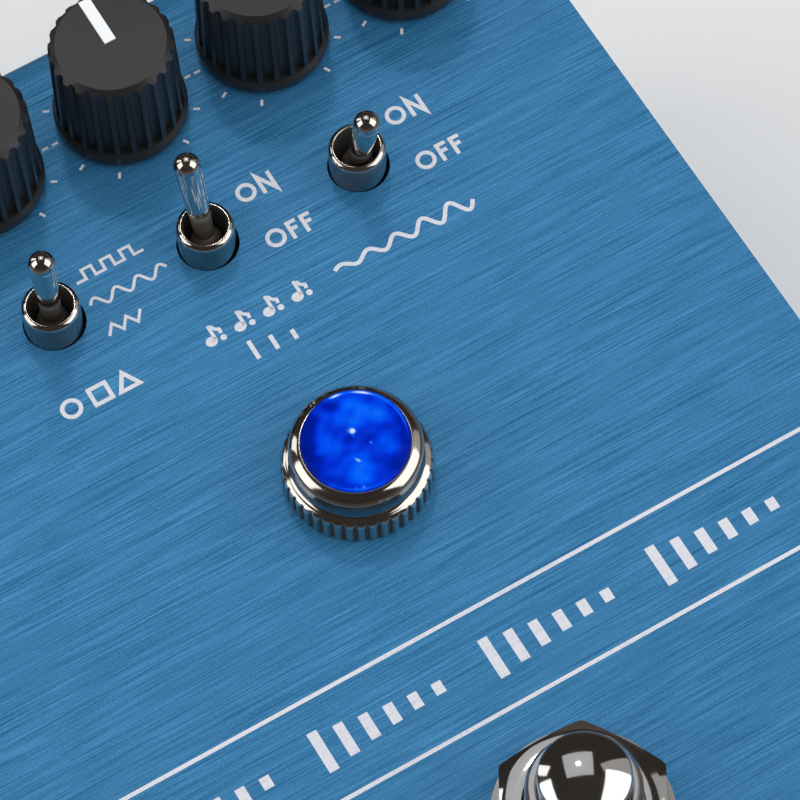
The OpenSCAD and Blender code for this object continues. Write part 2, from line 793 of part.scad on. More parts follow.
// One instrument socket, side -1 or 1
module instrument_jack(side) color(BLACK)
    translate([side * jack_x, y_rear, jack_z]) rotate([90, 0, 0]) difference() {
        union() {
            translate([-jack_w / 2, -jack_tall / 2, wall]) cube([jack_w, jack_tall, jack_len]);
            translate([0, 0, -jack_out]) cylinder(r = nose_r, h = jack_out + wall + cut);
        }
        translate([0, 0, -jack_out - cut]) cylinder(r = plug_r, h = plug_depth + cut);
    }

// Washers and nuts that clamp the sockets to the rear wall
module at_jacks(out) for (x = [-jack_x, jack_x])
    translate([x, y_rear + out, jack_z]) rotate([-90, 0, 0]) children();
module jack_washers() color(STEEL) at_jacks(0) ring(jack_nut_flat / 2 + 1, nose_r + fit, jack_washer_t);
module jack_nuts() color(CHROME) at_jacks(jack_washer_t) hex_nut(jack_nut_flat, nose_r + fit, jack_nut_t);

// Circuit board that carries the rear sockets
module jack_board() color(GREEN)
    translate([-jack_board_x, y_rear - wall - jack_board_d, jack_board_z - board_t])
        cube([2 * jack_board_x, jack_board_d - 0.5, board_t]);

// Power socket with its centre pin
module power_jack() color(BLACK)
    translate([0, y_rear, power_axis_z]) rotate([90, 0, 0]) {
        difference() {
            union() {
                translate([-power_w / 2, -power_tall / 2, wall]) cube([power_w, power_tall, power_len]);
                cylinder(r = power_nose_r, h = wall + cut);
            }
            translate([0, 0, -cut]) cylinder(r = power_r, h = power_depth + cut);
        }
        translate([0, 0, 0.5]) cylinder(r = power_pin_r, h = power_depth);
    }

// Slide switch for the knob lights
module light_switch_case() color(STEEL)
    translate([slide_x, y_rear - wall - slide_d, jack_board_z]) difference() {
        translate([-slide_w / 2, 0, 0]) cube([slide_w, slide_d, slide_tall]);
        translate([-slider_w / 2 - slack, slide_d - slider_tongue - slack,
            (slide_tall - slider_tall) / 2 - slack / 2])
            cube([slider_w + slider_travel + 2 * slack, slider_tongue + slack + cut, slider_tall + slack]);
    }
module light_switch_slider() color(BLACK)
    translate([slide_x - slider_w / 2, y_rear - wall - slider_tongue,
        jack_board_z + (slide_tall - slider_tall) / 2])
        cube([slider_w, slider_tongue + wall + slider_out, slider_tall]);

// A flat lead of even thickness along a cubic curve through p in the (y, z) plane
function curve(p, t) = pow(1 - t, 3) * p[0] + 3 * pow(1 - t, 2) * t * p[1]
    + 3 * (1 - t) * t * t * p[2] + pow(t, 3) * p[3];
function curve_dir(p, t) = pow(1 - t, 2) * (p[1] - p[0]) + 2 * (1 - t) * t * (p[2] - p[1])
    + t * t * (p[3] - p[2]);
function curve_side(p, t, d) = let (v = curve_dir(p, t) / norm(curve_dir(p, t)))
    curve(p, t) + d * [-v[1], v[0]];
module flat_lead(p, w, x)
    translate([x, 0, 0]) across(w) polygon(concat(
        [for (j = [0:ribbon_steps]) curve_side(p, j / ribbon_steps, ribbon_t / 2)],
        [for (j = [ribbon_steps:-1:0]) curve_side(p, j / ribbon_steps, -ribbon_t / 2)]));

// Ribbon leads between the boards, the footswitch and the battery clip
module ribbon_leads() color([0.45, 0.45, 0.47]) {
    down = -board_drop - board_t - header_t;
    board_y = face_y(board_header_s, down);
    board_z = face_z(board_header_s, down);
    sink_z = jack_board_z + header_t;
    half_drop = (board_z - sink_z) / 2;
    flat_lead([[board_y, board_z], [board_y + half_drop * sin(face_tilt), board_z - half_drop],
        [jack_header_y, sink_z + half_drop], [jack_header_y, sink_z]], ribbon_w, 0);
    plug_s = switch_header_s - header_d / 2;
    case_s = switch_from_front + stomp_case_w / 2;
    case_h = -stomp_drop - stomp_case_h / 2;
    plug_h = -board_drop - board_t - header_t / 2;
    on_face(0, 0) flat_lead([[case_s, case_h], [case_s + 9, case_h], [plug_s - 9, plug_h], [plug_s, plug_h]],
        ribbon_w, 0);
    clip_back = clip_y + clip_t;
    lead_z = jack_board_z + header_t / 2;
    clip_z = tray_floor + battery_t / 2;
    lead_end = jack_header_y - header_d / 2;
    flat_lead([[clip_back, clip_z], [clip_back + 9, clip_z], [lead_end - 9, lead_z], [lead_end, lead_z]],
        ribbon_w / 2, header_w);
}

// Headers that the leads plug into
module ribbon_headers() color([0.85, 0.84, 0.78]) {
    under_board(0, board_header_s) block([header_w, header_d, header_t]);
    under_board(0, switch_header_s) block([header_w, header_d, header_t]);
    for (x = [0, header_w])
        translate([x, jack_header_y, jack_board_z])
            block([x == 0 ? header_w : header_w / 2, header_d, header_t]);
}

// Battery door with its hinge barrel, magnet pockets and a scoop for a fingernail
module battery_door() color(BLUE)
    difference() {
        half_w = door_w / 2 - door_gap;
        union() {
            translate([-half_w, y_front, hinge_z]) cube([2 * half_w, wall, door_top - hinge_z]);
            hinge_rod(barrel_r, 2 * half_w);
        }
        hinge_rod(hinge_pin_r + fit, door_w + 2 * cut);
        translate([0, y_front + scoop_t, door_top + scoop_up]) rotate([90, 0, 0])
            cylinder(r = scoop_r, h = scoop_t + cut);
        at_magnets() translate([0, y_front + wall - magnet_t - fit, 0]) rotate([-90, 0, 0])
            cylinder(r = magnet_r + fit, h = magnet_t + fit + cut);
    }

// Magnets let into the door, and those in the shell's lip behind them
module door_magnets() color(STEEL)
    at_magnets() translate([0, y_front + wall - magnet_t, 0]) rotate([-90, 0, 0])
        cylinder(r = magnet_r, h = magnet_t);
module catch_magnets() color(STEEL)
    at_magnets() translate([0, y_front + wall + lip_gap + lip_t - magnet_t, 0]) rotate([-90, 0, 0])
        cylinder(r = magnet_r, h = magnet_t);

// Steel hinge pin of the door
module hinge_pin() color(STEEL) hinge_rod(hinge_pin_r, door_w + 2 * ear_w - 3);

// Plastic tray that guides the battery in
module battery_tray() color(BLACK) {
    half_w = battery_w / 2 + slack + tray_t;
    length = clip_y + clip_t - tray_y;
    translate([-half_w, tray_y, tray_floor - tray_t]) cube([2 * half_w, length, tray_t]);
    for (x = [-half_w, half_w - tray_t]) translate([x, tray_y, z_shell])
        cube([tray_t, length, tray_floor + tray_side - z_shell]);
}

// Block battery with two snap terminals
module battery() color([0.16, 0.17, 0.19]) {
    translate([-battery_w / 2, battery_y, tray_floor]) cube([battery_w, battery_len, battery_t]);
    at_snaps() cylinder(r = snap_r, h = snap_len + cut);
}
module at_snaps() for (x = [-snap_gap / 2, snap_gap / 2])
    translate([x, battery_y + battery_len - cut, tray_floor + battery_t / 2]) rotate([-90, 0, 0]) children();

// Clip that snaps onto the battery's terminals
module battery_clip() color(BLACK)
    difference() {
        translate([-battery_w / 2 - slack, clip_y, tray_floor])
            cube([battery_w + 2 * slack, clip_t, clip_tall + (battery_t - clip_tall) / 2]);
        at_snaps() cylinder(r = snap_r + fit, h = snap_len + cut + fit);
    }

top_shell();
front_wall();
rear_wall();
side_walls();
base_plate();
base_screws();
rubber_feet();
control_board();
board_fixings();
board_components();
pot_cases();
pot_collars();
pot_nuts();
knob(0);  // time_knob
knob(1);  // feedback_knob
knob(2);  // level_knob
knob(3);  // depth_knob
knob(4);  // rate_knob
knob_pointer(0);  // time_pointer
knob_pointer(1);  // feedback_pointer
knob_pointer(2);  // level_pointer
knob_pointer(3);  // depth_pointer
knob_pointer(4);  // rate_pointer
knob_shaft(0);  // time_shaft
knob_shaft(1);  // feedback_shaft
knob_shaft(2);  // level_shaft
knob_shaft(3);  // depth_shaft
knob_shaft(4);  // rate_shaft
toggle_cases();
toggle_bushings();
toggle_lever(0);  // mode_lever
toggle_lever(1);  // division_lever
toggle_lever(2);  // voice_lever
jewel_bezel();
jewel_lens();
jewel_mounting();
indicator_led();
footswitch_case();
footswitch_bushing();
footswitch_clamps();
footswitch_nut();
footswitch_button();
footswitch_spring();
instrument_jack(1);  // input_jack
instrument_jack(-1);  // output_jack
jack_washers();
jack_nuts();
jack_board();
power_jack();
light_switch_case();
light_switch_slider();
ribbon_leads();
ribbon_headers();
battery_door();
door_magnets();
catch_magnets();
hinge_pin();
battery_tray();
battery();
battery_clip();
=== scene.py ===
"""Looks of a delay pedal: brushed blue shell, jewel lamp, toggles, knobs, footswitch and print."""

from __future__ import annotations

import json
import logging
import math
from dataclasses import dataclass
from enum import Enum
from typing import Any, Iterable, Sequence

import bmesh
import bpy
import numpy as np
from mathutils import Matrix, Vector

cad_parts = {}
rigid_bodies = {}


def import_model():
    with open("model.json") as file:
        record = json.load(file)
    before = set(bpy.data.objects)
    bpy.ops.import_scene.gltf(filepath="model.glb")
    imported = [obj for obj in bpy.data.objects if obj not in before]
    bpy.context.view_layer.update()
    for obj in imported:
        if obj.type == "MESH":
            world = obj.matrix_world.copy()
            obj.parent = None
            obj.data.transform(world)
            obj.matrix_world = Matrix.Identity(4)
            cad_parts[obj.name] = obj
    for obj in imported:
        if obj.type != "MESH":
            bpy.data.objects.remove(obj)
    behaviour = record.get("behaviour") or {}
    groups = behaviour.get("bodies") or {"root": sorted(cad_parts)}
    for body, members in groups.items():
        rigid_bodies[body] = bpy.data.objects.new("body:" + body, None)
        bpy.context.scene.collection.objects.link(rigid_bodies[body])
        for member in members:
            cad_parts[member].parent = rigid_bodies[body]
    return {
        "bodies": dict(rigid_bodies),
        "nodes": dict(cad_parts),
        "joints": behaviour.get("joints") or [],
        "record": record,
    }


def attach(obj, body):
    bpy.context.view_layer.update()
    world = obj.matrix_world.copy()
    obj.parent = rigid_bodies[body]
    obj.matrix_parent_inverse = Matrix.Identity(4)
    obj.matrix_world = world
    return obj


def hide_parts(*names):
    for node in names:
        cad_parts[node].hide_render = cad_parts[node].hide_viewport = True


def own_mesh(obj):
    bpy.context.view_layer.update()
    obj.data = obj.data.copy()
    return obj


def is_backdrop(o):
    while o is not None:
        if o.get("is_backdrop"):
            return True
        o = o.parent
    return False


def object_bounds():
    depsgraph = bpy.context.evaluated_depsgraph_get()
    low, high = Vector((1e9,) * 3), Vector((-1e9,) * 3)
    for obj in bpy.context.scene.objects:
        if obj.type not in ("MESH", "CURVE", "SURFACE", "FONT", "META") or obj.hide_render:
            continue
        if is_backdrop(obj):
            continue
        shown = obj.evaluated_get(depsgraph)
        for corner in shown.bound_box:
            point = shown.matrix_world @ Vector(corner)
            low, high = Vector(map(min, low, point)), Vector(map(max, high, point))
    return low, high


LOG = logging.getLogger("pedal")
MM = 0.001
TAU = 2 * math.pi
ROOT = "enclosure"
SHARP_FROM = 38.0


# Shader maths


class Value:
    """A socket in a material; arithmetic on it adds Math nodes."""

    def __init__(self, graph: "Graph", socket: bpy.types.NodeSocket) -> None:
        """Wrap one output socket of a graph."""
        self.graph = graph
        self.socket = socket

    def _math(self, operation: str, first: Any, second: Any = 0.0) -> "Value":
        """Add a Math node.

        Args:
            operation: The Math node's operation.
            first: The value of its first socket.
            second: The value of its second socket.

        Returns:
            The node's result.
        """
        return self.graph.value(
            "ShaderNodeMath", 0, {"operation": operation}, {0: first, 1: second}
        )

    def __add__(self, other: Any) -> "Value":
        """Self plus other."""
        return self._math("ADD", self, other)

    def __radd__(self, other: Any) -> "Value":
        """Other plus self."""
        return self._math("ADD", other, self)

    def __sub__(self, other: Any) -> "Value":
        """Self minus other."""
        return self._math("SUBTRACT", self, other)

    def __rsub__(self, other: Any) -> "Value":
        """Other minus self."""
        return self._math("SUBTRACT", other, self)

    def __mul__(self, other: Any) -> "Value":
        """Self times other."""
        return self._math("MULTIPLY", self, other)

    def __rmul__(self, other: Any) -> "Value":
        """Other times self."""
        return self._math("MULTIPLY", other, self)

    def __pow__(self, other: Any) -> "Value":
        """Self to the power of other."""
        return self._math("POWER", self, other)

    def __abs__(self) -> "Value":
        """Self without its sign."""
        return self._math("ABSOLUTE", self)

    def step(self, low: float, high: float) -> "Value":
        """Rise smoothly from 0 to 1.

        Args:
            low: Where the rise starts.
            high: Where it ends, which may be below low for a fall.

        Returns:
            The eased value.
        """
        return self.graph.value(
            "ShaderNodeMapRange",
            "Result",
            {"interpolation_type": "SMOOTHSTEP"},
            {"Value": self, "From Min": low, "From Max": high, "To Min": 0.0, "To Max": 1.0},
        )


class Graph:
    """The node tree of one material, or of the world."""

    def __init__(self, owner: bpy.types.Material | bpy.types.World) -> None:
        """Start an empty tree.

        Args:
            owner: The material or world that it belongs to.
        """
        owner.use_nodes = True
        self.owner = owner
        self.tree = owner.node_tree
        self.tree.nodes.clear()

    @classmethod
    def material(cls, name: str) -> "Graph":
        """Start an empty material of that name."""
        return cls(bpy.data.materials.new(name))

    def node(
        self,
        kind: str,
        settings: dict[str, Any] | None = None,
        inputs: dict[str | int, Any] | None = None,
    ) -> bpy.types.Node:
        """Add a node.

        Args:
            kind: The node's type.
            settings: Its properties, set first; stops is a ramp's (place, colour) pairs.
            inputs: Values or links of its sockets, by name or number.

        Returns:
            The new node.
        """
        made = self.tree.nodes.new(kind)
        for key, value in (settings or {}).items():
            if key == "stops":
                ramp = made.color_ramp.elements
                while len(ramp) < len(value):
                    ramp.new(0.5)
                for element, (place, colour) in zip(ramp, value):
                    element.position = place
                    element.color = (*colour, 1.0)
            else:
                setattr(made, key, value)
        for key, value in (inputs or {}).items():
            if isinstance(value, Value):
                self.tree.links.new(value.socket, made.inputs[key])
            else:
                made.inputs[key].default_value = value
        return made

    def value(
        self,
        kind: str,
        output: str | int,
        settings: dict[str, Any] | None = None,
        inputs: dict[str | int, Any] | None = None,
    ) -> Value:
        """Add a node and wrap one of its outputs.

        Args:
            kind: The node's type.
            output: The name or number of the output.
            settings: As for node.
            inputs: As for node.

        Returns:
            That output.
        """
        return Value(self, self.node(kind, settings, inputs).outputs[output])

    def place(self) -> Value:
        """Object coordinates, in metres."""
        return self.value("ShaderNodeTexCoord", "Object")

    def scaled(self, vector: Value, scale: Sequence[float]) -> Value:
        """Stretch a vector.

        Args:
            vector: The coordinates.
            scale: One factor for each axis.

        Returns:
            The stretched coordinates.
        """
        return self.value("ShaderNodeMapping", 0, None, {"Vector": vector, "Scale": scale})

    def dot(self, vector: Value, way: Sequence[float]) -> Value:
        """Dot product of a vector and a fixed direction."""
        return self.value("ShaderNodeVectorMath", "Value", {"operation": "DOT_PRODUCT"}, {0: vector, 1: way})

    def noise(self, vector: Value, scale: float, detail: float = 2.0, rough: float = 0.5) -> Value:
        """Fractal noise round 0.5.

        Args:
            vector: The coordinates.
            scale: Features per unit.
            detail: Octaves.
            rough: Weight of the finer octaves.

        Returns:
            The noise's value.
        """
        return self.value(
            "ShaderNodeTexNoise",
            "Fac",
            None,
            {"Vector": vector, "Scale": scale, "Detail": detail, "Roughness": rough},
        )

    def mix(self, factor: Any, first: Any, second: Any) -> Value:
        """Blend two colours.

        Args:
            factor: 0 gives the first colour and 1 the second.
            first: A colour of three numbers, or a link.
            second: As first.

        Returns:
            The blended colour.
        """
        as_colour = [c if isinstance(c, Value) else (*c, 1.0) for c in (first, second)]
        return self.value(
            "ShaderNodeMix", 2, {"data_type": "RGBA"}, {0: factor, 6: as_colour[0], 7: as_colour[1]}
        )

    def bump(self, height: Value, depth: float, strength: float = 1.0) -> Value:
        """A normal from a height.

        Args:
            height: The height, from 0 to 1.
            depth: What a height of 1 measures, in metres.
            strength: The share of the effect.

        Returns:
            The bumped normal.
        """
        return self.value(
            "ShaderNodeBump", 0, None, {"Height": height, "Distance": depth, "Strength": strength}
        )

    def surface(self, inputs: dict[str | int, Any]) -> bpy.types.Material:
        """Close the tree with a Principled surface.

        Args:
            inputs: Values or links of the shader's sockets.

        Returns:
            The finished material.
        """
        shader = self.value("ShaderNodeBsdfPrincipled", 0, None, inputs)
        self.node("ShaderNodeOutputMaterial", None, {"Surface": shader})
        return self.owner

    def sky(self, colour: Value) -> bpy.types.World:
        """Close the tree with a background.

        Args:
            colour: Its colour.

        Returns:
            The finished world.
        """
        shader = self.value("ShaderNodeBackground", 0, None, {"Color": colour})
        self.node("ShaderNodeOutputWorld", None, {"Surface": shader})
        return self.owner


# Finishes

Colour = tuple[float, float, float]
Direction = tuple[float, float, float]


@dataclass(frozen=True)
class Anodised:
    """Brushed aluminium under a clear coloured anodic layer, brushed across the pedal."""

    name: str = "anodised_blue"
    dark: Colour = (0.0075, 0.135, 0.330)
    light: Colour = (0.081, 0.345, 0.658)
    metallic: float = 0.45
    roughness: float = 0.46
    gloss_drift: float = 0.08
    grain_size: tuple[float, float] = (0.16 * MM, 0.1 * MM)
    streak_size: tuple[float, float] = (7.0 * MM, 0.095 * MM)
    scratch_size: tuple[float, float] = (14.0 * MM, 0.1 * MM)
    band_size: tuple[float, float] = (16.0 * MM, 5.0 * MM)
    fine_share: float = 0.6
    grain_gain: float = 0.8
    streak_gain: float = 1.4
    bright_gain: float = 0.22
    deep_gain: float = 0.38
    band_gain: float = 1.3
    tone_span: tuple[float, float] = (-0.35, 1.35)
    scratch_span: tuple[float, float] = (0.13, 0.22)
    side_span: tuple[float, float] = (0.68, 0.73)
    groove: float = 0.003 * MM
    groove_gain: float = 0.4

    def build(self) -> bpy.types.Material:
        """Streaks are noise stretched along the brushing; on the side walls they run front to rear.

        Returns:
            The material.
        """
        g = Graph.material(self.name)
        place = g.place()
        normal = g.value("ShaderNodeNewGeometry", "Normal")
        across = g.value("ShaderNodeSeparateXYZ", 0, None, {0: normal})
        on_side = abs(across).step(*self.side_span)

        def streaks(size: tuple[float, float], detail: float = 0.0) -> Value:
            """Noise about zero, drawn out along the brushing.

            Args:
                size: Length and width of its features.
                detail: Octaves.

            Returns:
                The noise's value.
            """
            long, short = 1 / size[0], 1 / size[1]
            face = g.noise(g.scaled(place, (long, short, short)), 1.0, detail, self.fine_share)
            side = g.noise(g.scaled(place, (short, long, short)), 1.0, detail, self.fine_share)
            return face + (side - face) * on_side - 0.5

        scratch = streaks(self.scratch_size)
        band = streaks(self.band_size, 1.0)
        line = (
            streaks(self.grain_size) * self.grain_gain
            + streaks(self.streak_size) * self.streak_gain
            + scratch.step(*self.scratch_span) * self.bright_gain
            - scratch.step(*(-edge for edge in self.scratch_span)) * self.deep_gain
        )
        tone = line * (1.0 + band * self.band_gain) + 0.5
        return g.surface(
            {
                "Base Color": g.mix(tone.step(*self.tone_span), self.dark, self.light),
                "Metallic": self.metallic,
                "Roughness": self.roughness - line * self.gloss_drift,
                "Normal": g.bump(line * self.groove_gain, self.groove),
            }
        )


@dataclass(frozen=True)
class Plate:
    """Plated or bare metal with fine polishing marks."""

    name: str
    colour: Colour
    roughness: float = 0.07
    haze: float = 0.08
    mark: float = 0.4 * MM
    depth: float = 0.0006 * MM
    mark_stretch: float = 4.0
    drift_scale: float = 180.0
    dulling: float = 0.86
    haze_span: tuple[float, float] = (0.35, 0.85)

    def metal(self, g: Graph) -> tuple[Value, Value, Value]:
        """The metal itself, whose gloss and colour drift with soft noise.

        Args:
            g: The material's tree.

        Returns:
            The drift about 0.5, the colour and the roughness.
        """
        drift = g.noise(g.place(), self.drift_scale, 3.0)
        darker = tuple(self.dulling * c for c in self.colour)
        rough = self.roughness + drift.step(*self.haze_span) * self.haze
        return drift, g.mix(drift, darker, self.colour), rough

    def polish(self, g: Graph) -> Value:
        """A faint bump of marks drawn out along the pedal.

        Args:
            g: The material's tree.

        Returns:
            The bumped normal.
        """
        fine = 1 / self.mark
        marks = g.noise(g.scaled(g.place(), (fine, fine / self.mark_stretch, fine)), 1.0)
        return g.bump(marks, self.depth)

    def build(self) -> bpy.types.Material:
        """The metal under its polishing marks.

        Returns:
            The material.
        """
        g = Graph.material(self.name)
        _, colour, rough = self.metal(g)
        return g.surface(
            {"Base Color": colour, "Metallic": 1.0, "Roughness": rough, "Normal": self.polish(g)}
        )


@dataclass(frozen=True)
class KnurledPlate(Plate):
    """Plated metal with its own groove map, which paints shade: above 0 a dark painted shade in grooves and
    recesses, below 0 a darker plating that paints shade, with added roughness.
    """

    # Painted shade where the groove map is above 0: its dark colour, spread, cover, roughness and loss of
    # metal.
    shade_colour: Colour = (0.020, 0.019, 0.018)
    shade_span: tuple[float, float] = (0.15, 0.75)
    shade_cover: float = 0.9
    shade_extra_rough: float = 0.15
    shade_ragged: float = 0.3
    deep_shade_span: tuple[float, float] = (0.6, 1.0)
    deep_shade_metal_loss: float = 0.5
    # Painted shade where the groove map is below 0: a darker plating, a little rougher.
    shade: Colour = (0.25, 0.285, 0.30)
    shade_rough: float = 0.09

    def build(self) -> bpy.types.Material:
        """As the plain plate, with the groove map painting shade on it: darker colour, less metal and more
        roughness.

        Returns:
            The material.
        """
        g = Graph.material(self.name)
        drift, colour, rough = self.metal(g)
        groove = g.value("ShaderNodeAttribute", "Fac", {"attribute_name": "groove"})
        # Painted shade: the groove map above 0, ragged by the drift.
        shade_share = (groove + (drift - 0.5) * self.shade_ragged).step(*self.shade_span)
        # Painted shade: the groove map below 0 mixes in the darker plating.
        shaded = groove.step(0.0, -1.0)
        cove_shaded = g.mix(shaded, colour, self.shade)
        return g.surface(
            {
                "Base Color": g.mix(shade_share * self.shade_cover, cove_shaded, self.shade_colour),
                "Metallic": 1.0 - shade_share.step(*self.deep_shade_span) * self.deep_shade_metal_loss,
                "Roughness": rough + shade_share * self.shade_extra_rough + shaded * self.shade_rough,
                "Normal": self.polish(g),
            }
        )


@dataclass(frozen=True)
class SunkPlate(Plate):
    """Plated metal, darker up to a height over the face: painted shade on the lever deep in its bushing."""

    drift_scale: float = 240.0
    dulling: float = 0.88
    # Painted shade deep in the bushing: its colour, spread, loss of metal and roughness.
    sunk_shade: Colour = (0.115, 0.100, 0.088)
    sunk_shade_ragged: float = 0.8 * MM
    sunk_shade_metal_loss: float = 0.6
    sunk_shade_rough: float = 0.35
    face_normal: Direction = (0.0, -0.1132, 0.9936)
    face_level: float = 48.04 * MM
    unshaded_from: float = 6.6 * MM
    dark_below: float = 4.9 * MM

    def build(self) -> bpy.types.Material:
        """Height over the face is the place's dot product with its normal; below, the metal gets painted
        shade: darker, less metal and rougher.

        Returns:
            The material.
        """
        g = Graph.material(self.name)
        drift, colour, rough = self.metal(g)
        height = g.dot(g.place(), self.face_normal) - self.face_level
        # Painted shade: none high up, full low down in the bushing, ragged by the drift.
        shade_share = (height + (drift - 0.5) * self.sunk_shade_ragged).step(self.unshaded_from, self.dark_below)
        return g.surface(
            {
                "Base Color": g.mix(shade_share, colour, self.sunk_shade),
                "Metallic": 1.0 - shade_share * self.sunk_shade_metal_loss,
                "Roughness": rough + shade_share * self.sunk_shade_rough,
            }
        )


@dataclass(frozen=True)
class Moulded:
    """Moulded plastic, rubber or paint with a fine grain."""

    name: str
    colour: Colour
    roughness: float = 0.45
    spread: float = 0.12
    grain: float = 0.25 * MM
    depth: float = 0.008 * MM
    coat: float = 0.0
    drift_scale: float = 60.0
    drift_share: float = 0.6
    paler: float = 1.18
    palest_black: float = 0.004

    def build(self) -> bpy.types.Material:
        """Grain is fine noise in the bump, with a broad drift in colour and gloss.

        Returns:
            The material.
        """
        g = Graph.material(self.name)
        place = g.place()
        grain = g.noise(place, 1 / self.grain, 3.0)
        drift = g.noise(place, self.drift_scale)
        pale = tuple(min(1.0, self.paler * c + self.palest_black) for c in self.colour)
        fleck = drift * self.drift_share + grain * (1 - self.drift_share)
        return g.surface(
            {
                "Base Color": g.mix(fleck, self.colour, pale),
                "Roughness": self.roughness + (drift - 0.5) * self.spread,
                "Coat Weight": self.coat,
                "Normal": g.bump(grain, self.depth),
            }
        )


@dataclass(frozen=True)
class Ink:
    """Off-white screen print, slightly mottled over the brushed lines."""

    name: str = "print_white"
    colour: Colour = (0.70, 0.71, 0.77)
    thin: Colour = (0.57, 0.62, 0.70)
    roughness: float = 0.5
    streak_scale: tuple[float, float, float] = (60.0, 4500.0, 4500.0)
    speck_scale: float = 2600.0
    cover_span: tuple[float, float] = (0.32, 0.56)
    depth: float = 0.004 * MM

    def build(self) -> bpy.types.Material:
        """The brushing shows through as faint streaks in colour and bump.

        Returns:
            The material.
        """
        g = Graph.material(self.name)
        place = g.place()
        streak = g.noise(g.scaled(place, self.streak_scale), 1.0)
        speck = g.noise(place, self.speck_scale)
        cover = (streak * 0.5 + speck * 0.5).step(*self.cover_span)
        return g.surface(
            {
                "Base Color": g.mix(cover, self.thin, self.colour),
                "Roughness": self.roughness,
                "Normal": g.bump(streak, self.depth),
            }
        )


@dataclass(frozen=True)
class JewelGlass:
    """Blue glass lit from behind; what its cut back shows, and its painted highlights, are in the lens's own
    glow map.
    """

    name: str = "lit_blue_glass"
    body: Colour = (0.0, 0.008, 0.16)
    edge: Colour = (0.0, 0.004, 0.08)
    roughness: float = 0.04
    shine: float = 0.02
    fleck_scale: float = 1500.0
    fleck_gain: float = 0.55
    fleck_level: float = 0.22

    def build(self) -> bpy.types.Material:
        """The glow map's colour, broken up by fine noise, is emitted under a polished surface.

        Returns:
            The material.
        """
        g = Graph.material(self.name)
        # The glow map, painted highlights included.
        glow = g.value("ShaderNodeAttribute", "Color", {"attribute_name": "glow"})
        fleck = g.noise(g.place(), self.fleck_scale, 3.0, 0.6)
        mottled = g.mix((fleck - 0.5) * self.fleck_gain + self.fleck_level, glow, self.body)
        return g.surface(
            {
                "Base Color": g.mix(fleck, self.body, self.edge),
                "Roughness": self.roughness,
                "Specular IOR Level": self.shine,
                "Emission Color": mottled,
                "Emission Strength": 1.0,
            }
        )


class Coat(Enum):
    """The pedal's finishes."""

    SHELL = Anodised()
    NICKEL = Plate("bright_nickel", (0.74, 0.70, 0.65))
    KNURL = KnurledPlate("knurled_nickel", (0.74, 0.70, 0.65))
    LEVER = SunkPlate("lever_nickel", (0.74, 0.70, 0.65))
    DULL = Plate("dull_nickel", (0.72, 0.70, 0.67), 0.34, 0.1)
    CHROME = Plate("bright_chrome", (0.76, 0.76, 0.77), 0.06)
    THREAD = KnurledPlate("threaded_chrome", (0.76, 0.76, 0.77), 0.09)
    STEEL = Plate("satin_steel", (0.46, 0.46, 0.47), 0.28, 0.12, 0.25 * MM, 0.003 * MM)
    BRASS = Plate("turned_brass", (0.60, 0.42, 0.16), 0.22, 0.12, 0.2 * MM, 0.003 * MM)
    BASE = Moulded("charcoal_powder_coat", (0.036, 0.036, 0.038), 0.5, 0.1, 0.6 * MM, 0.03 * MM)
    RUBBER = Moulded("black_rubber", (0.016, 0.016, 0.016), 0.75, 0.1, 0.35 * MM, 0.02 * MM)
    KNOB = Moulded("knob_black", (0.013, 0.013, 0.014), 0.36, 0.1, 0.18 * MM, 0.004 * MM)
    POINTER = Moulded("pointer_white", (0.78, 0.80, 0.82), 0.3, 0.05, 0.3 * MM, 0.002 * MM, 0.3)
    PLASTIC = Moulded("moulded_black", (0.014, 0.014, 0.015), 0.42, 0.12)
    BOARD = Moulded("green_board", (0.010, 0.085, 0.040), 0.35, 0.1, 0.5 * MM, 0.004 * MM, 0.3)
    RIBBON = Moulded("grey_ribbon", (0.22, 0.22, 0.23), 0.5)
    IVORY = Moulded("ivory_header", (0.62, 0.58, 0.47), 0.5)
    CELL = Moulded("battery_sleeve", (0.030, 0.032, 0.038), 0.3, 0.1, 0.4 * MM, 0.002 * MM, 0.4)
    RESIN = Moulded("clear_blue_resin", (0.06, 0.18, 0.80), 0.12, 0.05, 0.5 * MM, 0.001 * MM, 0.5)
    PRINT = Ink()
    JEWEL = JewelGlass()

    def material(self) -> bpy.types.Material:
        """The finish's material, made at its first use."""
        return bpy.data.materials.get(self.value.name) or self.value.build()


NODE_COATS: dict[Coat, tuple[str, ...]] = {
    Coat.SHELL: ("top_shell", "front_wall", "rear_wall", "side_walls", "battery_door"),
    Coat.BASE: ("base_plate",),
    Coat.RUBBER: ("rubber_feet",),
    Coat.BOARD: ("control_board", "jack_board"),
    Coat.BRASS: ("pot_collars",),
    Coat.NICKEL: ("jewel_bezel", "toggle_bushings"),
    Coat.LEVER: ("mode_lever", "division_lever", "voice_lever"),
    Coat.CHROME: (
        "pot_nuts",
        "footswitch_bushing",
        "footswitch_nut",
        "footswitch_button",
        "jack_nuts",
        "door_magnets",
        "catch_magnets",
    ),
    Coat.STEEL: (
        "base_screws",
        "board_fixings",
        "pot_cases",
        "jewel_mounting",
        "footswitch_clamps",
        "footswitch_spring",
        "jack_washers",
        "light_switch_case",
        "hinge_pin",
    ),
    Coat.PLASTIC: (
        "board_components",
        "toggle_cases",
        "footswitch_case",
        "input_jack",
        "output_jack",
        "power_jack",
        "light_switch_slider",
        "battery_tray",
        "battery_clip",
    ),
    Coat.RIBBON: ("ribbon_leads",),
    Coat.IVORY: ("ribbon_headers",),
    Coat.CELL: ("battery",),
    Coat.RESIN: ("indicator_led",),
    Coat.JEWEL: ("jewel_lens",),
}
KNOBS = ("time", "feedback", "level", "depth", "rate")


def dress(piece: bpy.types.Object, coat: Coat) -> None:
    """Give a piece one finish all over."""
    piece.data.materials.clear()
    piece.data.materials.append(coat.material())


